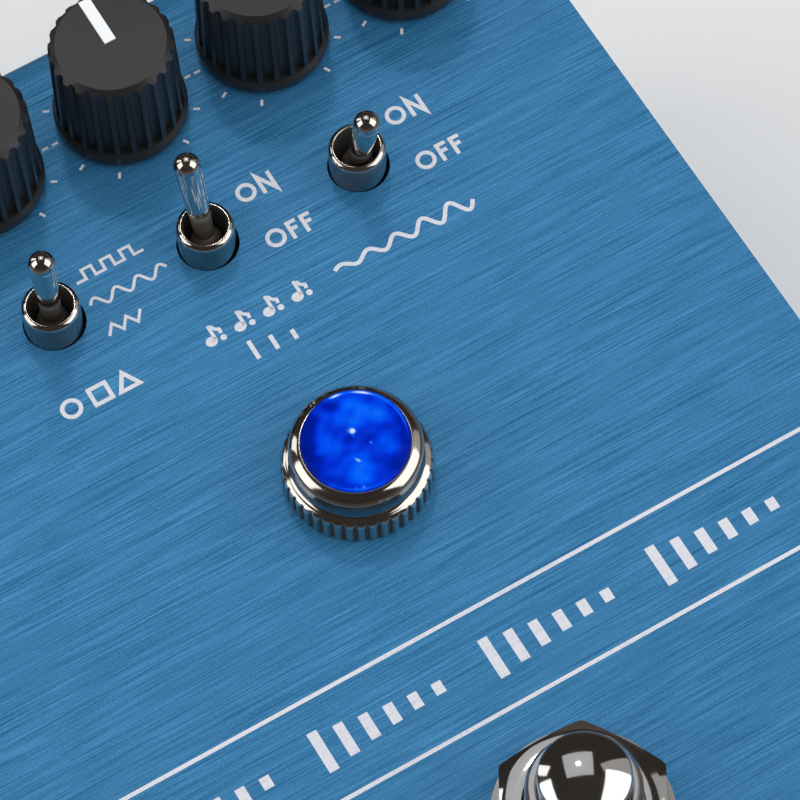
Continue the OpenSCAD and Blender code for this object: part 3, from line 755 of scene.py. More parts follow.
def fit(piece: bpy.types.Object, coat: Coat, node: str = "", body: str = ROOT) -> None:
    """Dress a piece of the scene's own and fix it to its body.

    Args:
        piece: The object.
        coat: Its finish.
        node: The node that it stands for, if any.
        body: The body that it moves with.
    """
    dress(piece, coat)
    if node:
        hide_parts(node)
    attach(piece, body)
    LOG.info("made %s on %s", piece.name, body)


# Walls as frames


@dataclass(frozen=True)
class Panel:
    """A flat wall as a frame: x across, s up, h off the surface."""

    origin: np.ndarray
    across: np.ndarray
    slope: np.ndarray
    normal: np.ndarray

    @classmethod
    def from_knob(cls, joints: Iterable[dict[str, Any]], lamp_drop: float) -> "Panel":
        """Find the sloping face from the middle knob's joint.

        Args:
            joints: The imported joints.
            lamp_drop: Distance from the knob row down the slope to the lamp.

        Returns:
            The face, with the lamp's centre as its origin.
        """
        knob = next(joint for joint in joints if joint["name"] == "level_turn")
        normal = np.array(knob["axis"], float)
        slope = np.array([0.0, normal[2], -normal[1]])
        return cls(
            np.array(knob["pos_m"], float) - lamp_drop * slope, np.array([1.0, 0.0, 0.0]), slope, normal
        )

    def to_row(self, points: np.ndarray) -> np.ndarray:
        """Row-frame places of points.

        Args:
            points: An array whose last axis is (x, s, h).

        Returns:
            The same array in the row frame.
        """
        axes = np.stack([self.across, self.slope, self.normal])
        return self.origin + np.asarray(points, float) @ axes


# Camera, lights and floor


@dataclass(frozen=True)
class PhotoCamera:
    """The photograph's camera, as fitted to the lamp, the toggle and the printed rows."""

    azimuth: float = -27.86
    elevation: float = 62.86
    roll: float = -2.86
    distance: float = 442.5 * MM
    focal_px: float = 4179.0
    frame_px: float = 800.0
    lamp_px: tuple[float, float] = (358.0, 473.0)
    sensor: float = 36.0
    near: float = 10.0 * MM

    def build(self, face: Panel) -> bpy.types.Object:
        """Point a camera at the lamp's foot, off centre as in the photograph.

        Args:
            face: The frame that the angles are measured in.

        Returns:
            The camera object.
        """
        a, e, r = (math.radians(x) for x in (self.azimuth, self.elevation, self.roll))
        back = np.array([math.sin(a) * math.cos(e), -math.cos(a) * math.cos(e), math.sin(e)])
        right = np.array([math.cos(a), math.sin(a), 0.0])
        up = np.cross(back, right)
        right, up = (
            math.cos(r) * right + math.sin(r) * up,
            math.cos(r) * up - math.sin(r) * right,
        )
        off = (np.array(self.lamp_px) - self.frame_px / 2) / self.focal_px * self.distance
        eye = self.distance * back - off[0] * right + off[1] * up
        turned = face.to_row(np.stack([right, up, back])) - face.origin
        data = bpy.data.cameras.new("photo_camera")
        data.sensor_width = self.sensor
        data.lens = self.focal_px / self.frame_px * self.sensor
        data.clip_start = self.near
        camera = bpy.data.objects.new("photo_camera", data)
        matrix = np.eye(4)
        matrix[:3, :3] = turned.T
        matrix[:3, 3] = face.to_row(eye)
        camera.matrix_world = Matrix(matrix.tolist())
        bpy.context.scene.collection.objects.link(camera)
        bpy.context.scene.camera = camera
        return camera


@dataclass(frozen=True)
class Softbox:
    """A large soft lamp round the pedal."""

    name: str
    azimuth: float
    elevation: float
    distance: float
    size: tuple[float, float]
    watts: float
    colour: Colour = (1.0, 1.0, 1.0)

    def build(self, target: np.ndarray) -> bpy.types.Object:
        """Hang the lamp and turn it to the target.

        Args:
            target: The point that it faces.

        Returns:
            The lamp object.
        """
        a, e = math.radians(self.azimuth), math.radians(self.elevation)
        back = Vector((math.sin(a) * math.cos(e), -math.cos(a) * math.cos(e), math.sin(e)))
        data = bpy.data.lights.new(self.name, "AREA")
        data.shape = "RECTANGLE"
        data.size, data.size_y = self.size
        data.energy = self.watts
        data.color = self.colour
        lamp = bpy.data.objects.new(self.name, data)
        lamp.rotation_mode = "QUATERNION"
        lamp.rotation_quaternion = (-back).to_track_quat("-Z", "Y")
        lamp.location = Vector(target) + back * self.distance
        bpy.context.scene.collection.objects.link(lamp)
        return lamp


@dataclass(frozen=True)
class Studio:
    """A pale floor that curves up far away, soft lamps, and a dim warm room in reflections."""

    floor_radius: float = 2.6
    floor_corner: float = 0.3
    floor_steps: int = 96
    wall_height: float = 0.75
    floor_colour: Colour = (0.82, 0.82, 0.82)
    floor_dulling: float = 0.97
    floor_drift: float = 3.0
    floor_rough: float = 0.85
    floor_in_gloss: Colour = (0.13, 0.10, 0.08)
    fill_front: Colour = (0.92, 0.92, 0.92)
    fill_rear: Colour = (0.42, 0.42, 0.42)
    fill_way: Direction = (-0.232, -0.476, 0.848)
    room: Colour = (0.032, 0.027, 0.022)
    backdrop: Colour = (0.86, 0.86, 0.86)
    boxes: tuple[Softbox, ...] = (
        Softbox("rear_lamp", 155.5, 66.0, 1.10, (0.075, 0.075), 0.42),
        Softbox("rear_box", 155.5, 66.0, 1.30, (0.80, 0.80), 1.0),
        Softbox("right_box", 52.0, 34.0, 0.90, (0.74, 0.88), 3.0, (1.0, 0.995, 0.985)),
        Softbox("right_rear_box", 86.0, 34.0, 0.90, (0.34, 0.80), 0.30, (1.0, 0.97, 0.93)),
        Softbox("left_box", -107.0, 32.0, 0.90, (0.55, 0.74), 1.9, (1.0, 0.995, 0.985)),
        Softbox("left_rear_box", -147.0, 27.0, 0.90, (0.20, 0.60), 0.5, (1.0, 0.995, 0.985)),
    )

    def build(self, face: Panel) -> None:
        """Build the floor and its rise as one turned profile, then the lamps and the room.

        Args:
            face: Gives the lamp's place, which the lights face.
        """
        bend = self.floor_corner
        corner = arc((self.floor_radius - bend, bend), bend, -90, 0, 12)
        profile = np.vstack([(0.0, 0.0), corner, (self.floor_radius, self.wall_height)])
        grid = spin(profile[:, 0], profile[:, 1], self.floor_steps)
        stage = mesh_piece("studio_floor", grid, grid_faces(len(profile), self.floor_steps))
        g = Graph.material("pale_floor")
        in_gloss = g.value("ShaderNodeLightPath", "Is Glossy Ray")
        soft = g.noise(g.place(), self.floor_drift)
        darker = tuple(self.floor_dulling * c for c in self.floor_colour)
        floor = g.mix(in_gloss, g.mix(soft, darker, self.floor_colour), self.floor_in_gloss)
        stage.data.materials.append(g.surface({"Base Color": floor, "Roughness": self.floor_rough}))
        stage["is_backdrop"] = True
        for box in self.boxes:
            box.build(face.origin)
        self.build_room()

    def build_room(self) -> None:
        """The world fills shadows, most from the front, looks dim in gloss and pale behind the pedal."""
        g = Graph(bpy.data.worlds.new("soft_world"))
        path = g.node("ShaderNodeLightPath")
        in_gloss, in_view = (Value(g, path.outputs[ray]) for ray in ("Is Glossy Ray", "Is Camera Ray"))
        way = g.value("ShaderNodeTexCoord", "Generated")
        front = g.dot(way, self.fill_way).step(0.0, 1.0)
        fill = g.mix(front**2, self.fill_rear, self.fill_front)
        bpy.context.scene.world = g.sky(g.mix(in_view, g.mix(in_gloss, fill, self.room), self.backdrop))


# Curves and surfaces from arrays


def arc(centre: tuple[float, float], radius: float, start: float, end: float, steps: int) -> np.ndarray:
    """Points of a circular arc.

    Args:
        centre: The circle's centre.
        radius: Its radius.
        start: The first point's angle, in degrees.
        end: The last point's angle.
        steps: Number of points.

    Returns:
        Rows of (x, y).
    """
    a = np.radians(np.linspace(start, end, steps))
    return np.array(centre) + radius * np.stack([np.cos(a), np.sin(a)], -1)


def eased(points: Sequence[tuple[float, float]], steps: int) -> np.ndarray:
    """A smooth curve through points, by a cubic between each two that follows its neighbours.

    Args:
        points: The points to pass.
        steps: Points on the curve.

    Returns:
        Rows of (x, y).
    """
    p = np.asarray(points, float)
    ends = np.vstack([2 * p[0] - p[1], p, 2 * p[-1] - p[-2]])
    t = np.linspace(0, len(p) - 1, steps)
    k = np.minimum(t.astype(int), len(p) - 2)
    f = (t - k)[:, None]
    a, b, c, d = (ends[k + i] for i in range(4))
    return 0.5 * (
        2 * b + (c - a) * f + (2 * a - 5 * b + 4 * c - d) * f**2 + (3 * b - a - 3 * c + d) * f**3
    )


def mesh_piece(name: str, points: np.ndarray, faces: list[Sequence[int]]) -> bpy.types.Object:
    """A smooth-shaded mesh object with outward faces.

    Args:
        name: The piece's name.
        points: Rows of (x, y, z).
        faces: Rows of vertex numbers.

    Returns:
        The object, linked to the scene.
    """
    mesh = bpy.data.meshes.new(name)
    mesh.from_pydata(np.asarray(points, float).reshape(-1, 3), [], faces)
    work = bmesh.new()
    work.from_mesh(mesh)
    bmesh.ops.recalc_face_normals(work, faces=work.faces)
    work.to_mesh(mesh)
    work.free()
    mesh.shade_smooth()
    piece = bpy.data.objects.new(name, mesh)
    bpy.context.scene.collection.objects.link(piece)
    return piece


def grid_faces(rows: int, columns: int) -> list[list[int]]:
    """Quads of a grid of points whose last column joins the first.

    Args:
        rows: Points along the first parameter.
        columns: Points along the second.

    Returns:
        Rows of four point numbers.
    """
    i, j = np.meshgrid(np.arange(rows - 1), np.arange(columns), indexing="ij")
    k = (j + 1) % columns
    quads = np.stack([i * columns + j, i * columns + k, (i + 1) * columns + k, (i + 1) * columns + j], -1)
    return quads.reshape(-1, 4).tolist()


def spin(radius: np.ndarray, height: np.ndarray, steps: int) -> np.ndarray:
    """Turn a profile about the third axis: (r cos a, r sin a, h) over all angles a.

    Args:
        radius: A radius for each profile point, or a grid with a column for each angle.
        height: Heights, shaped in either way too.
        steps: Angles round the axis.

    Returns:
        The points, with a row for each profile point.
    """
    angle = np.arange(steps) * TAU / steps
    shape = (len(radius), steps)
    r, h = (np.broadcast_to(v.reshape(len(v), -1), shape) for v in (radius, height))
    return np.stack([r * np.cos(angle), r * np.sin(angle), h], -1)


def ring_loft(
    name: str,
    panel: Panel,
    centres: Sequence[tuple[float, float]],
    radius: np.ndarray,
    height: np.ndarray,
    groove: np.ndarray,
) -> bpy.types.Object:
    """Closed rings on a panel: a closed section of (r, h), turned about each ring's axis.

    Args:
        name: The piece's name.
        panel: The panel they stand on.
        centres: Their axes, as (x, s) on the panel.
        radius: Radii, with a row for each section point and a column for each angle.
        height: The section points' heights, or a grid of them shaped like the radii.
        groove: Each point's painted shade, from -1 for a darker plating to 1 for a dark colour, shaped like
            the radii.

    Returns:
        The object, with the last values as its groove map of painted shade.
    """
    rows, steps = radius.shape
    ring = spin(radius, height, steps).reshape(-1, 3)
    middle = np.array([(x, s, 0.0) for x, s in centres])
    faces = np.array(grid_faces(rows + 1, steps)) % (rows * steps)
    shift = np.arange(len(centres)) * rows * steps
    piece = mesh_piece(
        name,
        panel.to_row((middle[:, None] + ring).reshape(-1, 3)),
        (faces + shift[:, None, None]).reshape(-1, 4).tolist(),
    )
    piece.data.set_sharp_from_angle(angle=math.radians(SHARP_FROM))
    # The groove map: painted shade at each point.
    shade_layer = piece.data.attributes.new("groove", "FLOAT", "POINT")
    shade_layer.data.foreach_set("value", np.tile(groove.ravel(), len(centres)))
    return piece


def turned(profile: np.ndarray, top: float, low: float, steps: int) -> tuple[np.ndarray, list[Sequence[int]]]:
    """A turned solid: a profile of (r, h) about the third axis, closed on it at both ends.

    Args:
        profile: Rows of (r, h) from the top to the foot.
        top: Height of its top on the axis.
        low: Height of its foot on the axis.
        steps: Angles round the axis.

    Returns:
        Points of (x, s, h), and the faces.
    """
    grid = spin(profile[:, 0], profile[:, 1], steps)
    points = np.vstack([grid.reshape(-1, 3), [[0.0, 0.0, top], [0.0, 0.0, low]]])
    first = np.arange(steps)
    last = (len(profile) - 1) * steps + first
    faces: list[Sequence[int]] = list(grid_faces(len(profile), steps))
    for ring, hub in ((first, len(points) - 2), (last, len(points) - 1)):
        faces += np.stack([ring, np.roll(ring, -1), np.full(steps, hub)], -1).tolist()
    return points, faces


@dataclass(frozen=True)
class HexNut:
    """A nut: width across its flats, bore's radius, foot and thickness; the rest are shares of these."""

    flat: float
    bore: float
    low: float
    thick: float
    edge_share: float = 0.06
    bevel_share: float = 2.2
    corner_share: float = 0.988
    cone_share: float = 0.97
    cone_fade: tuple[float, ...] = (1.0, 0.7, 0.4, 0.15)
    side_share: float = 0.4
    steps: int = 144

    def build(self, name: str, panel: Panel, centres: Sequence[tuple[float, float]]) -> bpy.types.Object:
        """A hexagon r = a / cos(angle in its side), its corners cut by a cone above.

        Args:
            name: The piece's name.
            panel: The panel they stand on.
            centres: The nuts' axes, as (x, s) on the panel.

        Returns:
            The nuts.
        """
        bore, low, top = self.bore, self.low, self.low + self.thick
        half, edge = self.flat / 2, self.edge_share * self.thick
        corner, bevel = self.corner_share * half / math.cos(TAU / 12), self.bevel_share * edge
        angle = np.arange(self.steps) * TAU / self.steps
        side = np.minimum(half / np.cos(np.mod(angle, TAU / 6) - TAU / 12), corner)
        start = self.cone_share * half
        cone_r = start + (side - start) * np.array(self.cone_fade)[:, None]
        cone_h = top - (cone_r - start) * math.tan(TAU / 12)
        full = np.ones((1, self.steps))
        radius = np.vstack(
            [bore * full, side - edge, side, side, cone_r, start * full, (bore + bevel) * full, bore * full]
        )
        below, above = (low, low, low + edge, low + self.side_share * self.thick), (top, top, top - bevel)
        height = np.vstack([*(h * full for h in below), cone_h, *(h * full for h in above)])
        return ring_loft(name, panel, centres, radius, height, 0 * radius)


def dome(radius: float, top: float, crown: float, fillet: float, steps: int) -> np.ndarray:
    """A ball's crown h = H - R + sqrt(R^2 - r^2), eased into a straight side by a fillet.

    Args:
        radius: Radius of the side.
        top: Height of its top.
        crown: How far the crown's edge would lie below the top without the fillet.
        fillet: The fillet's radius.
        steps: Points on the crown.

    Returns:
        Rows of (r, h) from near the axis to the side.
    """
    ball = (radius**2 + crown**2) / (2 * crown)
    middle, edge_r = top - ball, radius - fillet
    edge_h = middle + math.sqrt((ball - fillet) ** 2 - edge_r**2)
    tip = math.atan2(edge_r, edge_h - middle)
    r = ball * np.sin(np.linspace(0.0, tip, steps)[1:])
    edge = arc((edge_r, edge_h), fillet, 90 - math.degrees(tip), 0, 10)[1:]
    return np.vstack([np.stack([r, middle + np.sqrt(ball**2 - r**2)], -1), edge])


# The lamp


@dataclass(frozen=True)
class JewelGlow:
    """Glow of the lit glass: soft patches where the cut back sends the light up, with painted highlights as
    bright spots and as bright curves along the rim.
    """

    turn: float = 27.86
    slant: float = 62.86
    lift: float = 0.028
    floor: float = 0.44
    span: tuple[float, float] = (0.02, 1.1)
    cloud_gain: float = 0.17
    cloud_seed: int = 11
    cloud_waves: int = 26
    cloud_pace: tuple[float, float] = (7.0, 28.0)
    cloud_height: float = 0.55
    side_from: float = 0.62
    side_width: float = 0.34
    side_fall: float = 0.75
    side_power: float = 1.3
    rim_at: float = 0.955
    rim_width: float = 0.022
    # Strength of the painted highlights.
    highlight_gain: float = 1.6
    patches: tuple[tuple[float, float, float, float, float], ...] = (
        (0.02, 0.62, 0.30, 0.36, 0.58),
        (0.48, 0.48, 0.30, 0.24, 0.38),
        (-0.45, 0.36, 0.26, 0.14, 0.22),
        (0.05, -0.55, 0.40, 0.36, 0.48),
        (-0.45, -0.08, 0.24, 0.24, 0.34),
        (0.55, -0.05, 0.26, 0.24, 0.26),
        (-0.03, 0.02, 0.34, 0.15, -0.24),
        (-0.55, 0.12, 0.26, 0.26, 0.12),
        (0.50, 0.26, 0.26, 0.07, -0.24),
        (-0.86, 0.10, 0.16, 0.50, -0.32),
        (-0.62, -0.50, 0.24, 0.20, -0.26),
        (0.70, -0.52, 0.22, 0.22, -0.22),
        (-0.42, 0.70, 0.22, 0.14, -0.20),
        (0.35, 0.80, 0.16, 0.10, -0.10),
    )
    # Painted highlights: u, v, size and gain of bright spots; the biggest is a lamp's reflection near the
    # top, the rest glints.
    painted_highlights: tuple[tuple[float, float, float, float], ...] = (
        (-0.047, 0.188, 0.052, 1.60),
        (-0.030, 0.090, 0.020, 0.50),
        (0.274, -0.040, 0.020, 0.70),
        (0.300, -0.075, 0.014, 0.40),
        (0.365, -0.165, 0.018, 0.30),
        (0.027, -0.380, 0.026, 0.75),
        (-0.012, -0.350, 0.018, 0.50),
        (0.062, -0.402, 0.016, 0.50),
        (-0.065, -0.310, 0.012, 0.30),
        (-0.110, -0.510, 0.014, 0.22),
        (-0.035, -0.920, 0.020, 0.35),
        (0.110, -0.910, 0.024, 0.45),
    )
    # Painted highlights along the rim: bearing, width and gain of each arc.
    rim_highlights: tuple[tuple[float, float, float], ...] = (
        (-21.0, 6.0, 1.6),
        (9.0, 9.0, 1.7),
        (0.0, 40.0, 0.4),
        (62.0, 30.0, 0.7),
        (178.0, 26.0, 0.5),
    )
    ramp: tuple[tuple[float, Colour], ...] = (
        (0.00, (0.000, 0.0015, 0.085)),
        (0.30, (0.000, 0.0080, 0.330)),
        (0.55, (0.001, 0.0330, 0.680)),
        (0.85, (0.000, 0.1000, 0.980)),
        (1.10, (0.004, 0.1700, 1.000)),
        (1.70, (0.300, 0.6200, 1.000)),
        (2.30, (0.900, 0.9600, 1.000)),
    )

    def colour(self, points: np.ndarray, glass_r: float, rim_h: float) -> np.ndarray:
        """Colour at points of the glass, in a flat view slanted like the photograph's.

        Args:
            points: Rows of (x, s, h) on the face.
            glass_r: The glass's radius.
            rim_h: Height of its rim.

        Returns:
            Rows of linear colour.
        """
        turn, slant = math.radians(self.turn), math.radians(self.slant)
        x, s, h = points.T
        u = (x * math.cos(turn) - s * math.sin(turn)) / glass_r
        up = x * math.sin(turn) + s * math.cos(turn)
        v = ((up + (h - rim_h) / math.tan(slant)) / glass_r - self.lift) / (1 + self.lift)
        level = np.full(len(u), self.floor)
        for pu, pv, ru, rv, gain in self.patches:
            level += gain * np.exp(-(((u - pu) / ru) ** 2) - ((v - pv) / rv) ** 2)
        level += self.cloud_gain * self.cloud(u, v)
        near_side = np.clip((np.abs(u) - self.side_from) / self.side_width, 0, 1)
        level = np.clip(level * (1.0 - self.side_fall * near_side**self.side_power), *self.span)
        # Painted highlights: a thin bright ring at the rim, lit at the bearings listed.
        rim = np.exp(-(((np.hypot(u, v) - self.rim_at) / self.rim_width) ** 2))
        bearing = np.degrees(np.arctan2(u, v))
        for centre, width, gain in self.rim_highlights:
            aside = (bearing - centre + 180) % 360 - 180
            level += gain * rim * np.exp(-((aside / width) ** 2))
        # Painted highlights: bright spots.
        for pu, pv, size, gain in self.painted_highlights:
            level += self.highlight_gain * gain * np.exp(-(((u - pu) ** 2 + (v - pv) ** 2) / size**2))
        stops = np.array([stop for stop, _ in self.ramp])
        shades = np.array([shade for _, shade in self.ramp])
        return np.stack([np.interp(level, stops, shades[:, k]) for k in range(3)], -1)

    def cloud(self, u: np.ndarray, v: np.ndarray) -> np.ndarray:
        """Blotches about one unit high: a fixed sum of cosines of mixed direction and pace.

        Args:
            u: Places across the view.
            v: Places up the view.

        Returns:
            The blotches' level at each place.
        """
        pick = np.random.default_rng(self.cloud_seed)
        pace = pick.uniform(*self.cloud_pace, self.cloud_waves)
        way = pick.uniform(0, TAU, self.cloud_waves)
        shift = pick.uniform(0, TAU, self.cloud_waves)
        wave = np.cos(np.outer(u, pace * np.cos(way)) + np.outer(v, pace * np.sin(way)) + shift)
        return (wave / np.sqrt(pace)).sum(1) * self.cloud_height


@dataclass(frozen=True)
class JewelLamp:
    """Knurled bezel with a bright rolled ring, and the domed glass in it.

    The lip's rounding and the points of cove, bevel and wall are in millimetres; the painted shade
    of lip, cove and knurl is given as values of the groove map.
    """

    knurl_r: float = 8.15 * MM
    knurl_h: float = 2.85 * MM
    lobes: int = 40
    lobe_r: float = 0.62 * MM
    root: float = 0.34 * MM
    ring_r: float = 7.15 * MM
    lip_r: float = 5.83 * MM
    lip_flat: float = 0.15 * MM
    lip_turns: tuple[float, float] = (75.0, 30.0)
    lip_edge: float = 0.1 * MM
    lip_edge_end: float = -70.0
    lip_round: float = 0.05
    lip_drop: float = 0.2 * MM
    lip_h: float = 7.4 * MM
    bore_r: float = 6.1 * MM
    bevel_h: float = 3.84 * MM
    cove_h: float = 6.4 * MM
    cove: tuple[tuple[float, float], ...] = (
        (6.98, 6.27),
        (6.9, 6.05),
        (6.87, 5.6),
        (6.87, 5.1),
        (6.91, 4.6),
        (7.0, 4.2),
        (7.13, 3.94),
        (7.32, 3.77),
        (7.6, 3.65),
    )
    bevel: tuple[tuple[float, float], ...] = ((7.7, 3.59), (7.92, 3.4), (8.08, 3.12))
    wall_levels: tuple[float, ...] = (2.6, 1.8, 0.9, 0.25)
    foot_bevel: float = 0.1
    # Painted shade given to the groove map: cove, knurl wall and lip.
    cove_shade: float = -0.85
    knurl_wall_shade: float = 0.3
    # Lip by the glass: places across the flat ring and the painted shade at each; the darkest, at the glass,
    # is also a dark joint.
    lip_shade_places: tuple[float, ...] = (0.2, 0.4, 0.9, 1.15)
    lip_shade_levels: tuple[float, ...] = (0.92, 0.42, 0.42, 0.0)
    rib_steps: int = 14
    pocket_r: float = 6.3 * MM
    pocket_low: float = 4.45 * MM
    pocket_high: float = 6.33 * MM
    glass_r: float = 5.78 * MM
    glass_rise: float = 1.86 * MM
    glass_crown: float = 1.06 * MM
    glass_edge: float = 0.5 * MM
    glass_hub: float = 0.02 * MM
    glass_steps: tuple[int, int] = (110, 256)
    flange_r: float = 6.25 * MM
    flange_low: float = 4.5 * MM
    flange_high: float = 6.3 * MM

    def section(self) -> np.ndarray:
        """The bezel's closed section: bore, pocket, lip, rolled ring, cove, bevel and knurl.

        Returns:
            Rows of (r, h).
        """
        lip_r, lip_h, small = (v / MM for v in (self.lip_r, self.lip_h, self.lip_edge))
        knurl, ring, flat_r = (v / MM for v in (self.knurl_r, self.ring_r, self.lip_r + self.lip_flat))
        start, end = (math.radians(turn) for turn in self.lip_turns)
        round_r = (ring - flat_r) / (math.cos(end) - math.cos(start))
        roll_z = lip_h - round_r * math.sin(start)
        edge_z = roll_z + (round_r - small) * math.sin(end)
        edge = arc((ring - small * math.cos(end), edge_z), small, self.lip_turns[1], self.lip_edge_end, 8)
        cove = eased([tuple(edge[-1]), *self.cove], 40)
        bevel = eased([*self.bevel, (knurl, self.knurl_h / MM)], 12)
        wall = np.array([*((knurl, h) for h in self.wall_levels), (knurl - self.foot_bevel, 0.0)])
        inner = np.array(
            [
                (self.bore_r, 0.0),
                (self.bore_r, self.pocket_low),
                (self.pocket_r, self.pocket_low),
                (self.pocket_r, self.pocket_high),
                (self.lip_r, self.pocket_high),
                (self.lip_r, self.lip_h - self.lip_drop),
            ]
        )
        lip = arc((lip_r + self.lip_round, lip_h - self.lip_round), self.lip_round, 180, 90, 5)
        roll = arc((ring - round_r * math.cos(end), roll_z), round_r, *self.lip_turns, 30)
        return np.vstack([inner / MM, lip, roll, edge[1:], cove[1:], bevel, wall]) * MM

    def lobe(self, angle: np.ndarray) -> np.ndarray:
        """Outline of the knurl: round ribs of one small radius, cut off by a root circle.

        Args:
            angle: Angles round the axis.

        Returns:
            The outline's radius at each angle.
        """
        pitch = TAU / self.lobes
        aside = (np.mod(angle + pitch / 2, pitch) - pitch / 2) * self.knurl_r
        rib = np.sqrt(np.maximum(self.lobe_r**2 - aside**2, 0.0)) + self.knurl_r - self.lobe_r
        return np.maximum(rib, self.knurl_r - self.root)

    def build_bezel(self, panel: Panel) -> bpy.types.Object:
        """The ring r = min(section, lobe) over the section and all angles.

        Args:
            panel: The face.

        Returns:
            The bezel.
        """
        section = self.section()
        steps = self.lobes * self.rib_steps
        radius = np.minimum(section[:, :1], self.lobe(np.arange(steps) * TAU / steps)[None, :])
        r, z = section[:, :1], section[:, 1:]
        # Lip by the glass: a dark joint at the glass, then painted shade over the flat ring that dims its
        # reflection.
        lip_shade = np.interp((r - self.lip_r) / self.lip_flat, self.lip_shade_places, self.lip_shade_levels)
        in_cove = (z > self.bevel_h) & (z < self.cove_h) & (r > self.pocket_r)
        # Painted shade on the knurl's outer wall.
        wall = np.where(z < self.knurl_h, self.knurl_wall_shade, 0.0)
        # Painted shade in the knurl's grooves, deepest at their roots.
        cut = np.sqrt((r - radius) / self.root)
        # Painted shade in the cove under the rolled ring, through the darker plating below 0, which is also a
        # little rougher.
        plain = lip_shade + np.where(in_cove, self.cove_shade, 0.0) + wall
        groove = np.where(cut > 0, np.maximum(cut, wall), plain)
        return ring_loft("lamp_bezel", panel, [(0.0, 0.0)], radius, section[:, 1], groove)

    def build_lens(self, panel: Panel) -> bpy.types.Object:
        """A dome on a steep side, over a flange; its glow map is coloured by place.

        Args:
            panel: The face.

        Returns:
            The lens.
        """
        top = self.lip_h + self.glass_rise
        side = np.array(
            [
                (self.glass_r, self.lip_h),
                (self.glass_r, self.flange_high),
                (self.flange_r, self.flange_high),
                (self.flange_r, self.flange_low),
                (self.glass_hub, self.flange_low),
            ]
        )
        rows, steps = self.glass_steps
        profile = np.vstack([dome(self.glass_r, top, self.glass_crown, self.glass_edge, rows), side])
        points, faces = turned(profile, top, self.flange_low, steps)
        lens = mesh_piece("lamp_lens", panel.to_row(points), faces)
        colour = lens.data.color_attributes.new("glow", "FLOAT_COLOR", "POINT")
        glow = np.ones((len(points), 4))
        glow[:, :3] = JewelGlow().colour(points, self.glass_r, self.lip_h)
        colour.data.foreach_set("color", glow.ravel())
        return lens

    def build(self, panel: Panel) -> None:
        """Make, dress and fix both pieces.

        Args:
            panel: The face.
        """
        fit(self.build_bezel(panel), Coat.KNURL, "jewel_bezel")
        fit(self.build_lens(panel), Coat.JEWEL, "jewel_lens")


# The toggles


@dataclass(frozen=True)
class ToggleRow:
    """The three turned bushings that the toggle levers stand in; the edge is in millimetres from the lip."""

    pitch: float = 19.0 * MM
    row: float = 32.6 * MM
    play: tuple[float, float] = (-0.18 * MM, -0.195 * MM)
    outer_r: float = 3.175 * MM
    top: float = 4.5 * MM
    foot: float = -1.9 * MM
    lip: tuple[float, float] = (0.74 * MM, 0.62 * MM)
    lip_end: float = 72.0
    edge: tuple[tuple[float, float], ...] = ((-0.06, -0.005), (-0.11, -0.04), (-0.14, -0.1))
    edge_shade: tuple[float, ...] = (0.0, 0.1, 0.7)
    mouth_r: float = 2.33 * MM
    mouth_drops: tuple[float, float] = (0.5 * MM, 1.1 * MM)
    throat_r: float = 2.03 * MM
    cone_h: float = 2.6 * MM
    # Painted shade on the outer wall, which fades over the lip.
    shade: float = 0.5
    shade_fade: float = 0.5
    wall_shares: tuple[float, ...] = (0.0, 0.3, 0.6)
    steps: tuple[int, int] = (22, 128)

    def section(self) -> tuple[np.ndarray, np.ndarray]:
        """A bushing's closed section, and how much painted shade each point gets.

        Returns:
            Outer wall, an oval lip (R + a cos t, H + b sin t), mouth, cone and throat; and the painted shade.
        """
        turn = np.radians(np.linspace(0.0, self.lip_end, self.steps[0]))
        oval = np.stack([np.cos(turn) * self.lip[0], np.sin(turn) * self.lip[1]], -1)
        oval += (self.outer_r - self.lip[0], self.top - math.sin(turn[-1]) * self.lip[1])
        edge = oval[-1] + np.array(self.edge) * MM
        levels = (self.foot, *(share * self.top for share in self.wall_shares))
        wall = np.array([(self.outer_r, level) for level in levels])
        inside = np.array(
            [
                *((self.mouth_r, self.top - drop) for drop in self.mouth_drops),
                (self.throat_r, self.top - self.cone_h),
                (self.throat_r, self.foot),
            ]
        )
        # Painted shade: half on the outer wall, fading over the lip, rising over the mouth's edge and full
        # inside the bore.
        darker = np.concatenate(
            [
                np.full(len(wall), self.shade),
                self.shade * np.clip(1 - turn / self.shade_fade, 0, 1),
                self.edge_shade,
                np.ones(len(inside)),
            ]
        )
        return np.vstack([wall, oval, edge, inside]), darker

    def build(self, panel: Panel) -> None:
        """Turn, dress and fix the bushings.

        Args:
            panel: The face.
        """
        section, darker = self.section()
        shape = (len(section), self.steps[1])
        radius, darker = (np.broadcast_to(v[:, None], shape) for v in (section[:, 0], darker))
        centres = [(k * self.pitch + self.play[0], self.row + self.play[1]) for k in (-1, 0, 1)]
        # The painted shade goes in as the groove map.
        piece = ring_loft("turned_bushings", panel, centres, radius, section[:, 1], darker)
        fit(piece, Coat.KNURL, "toggle_bushings")


# Print


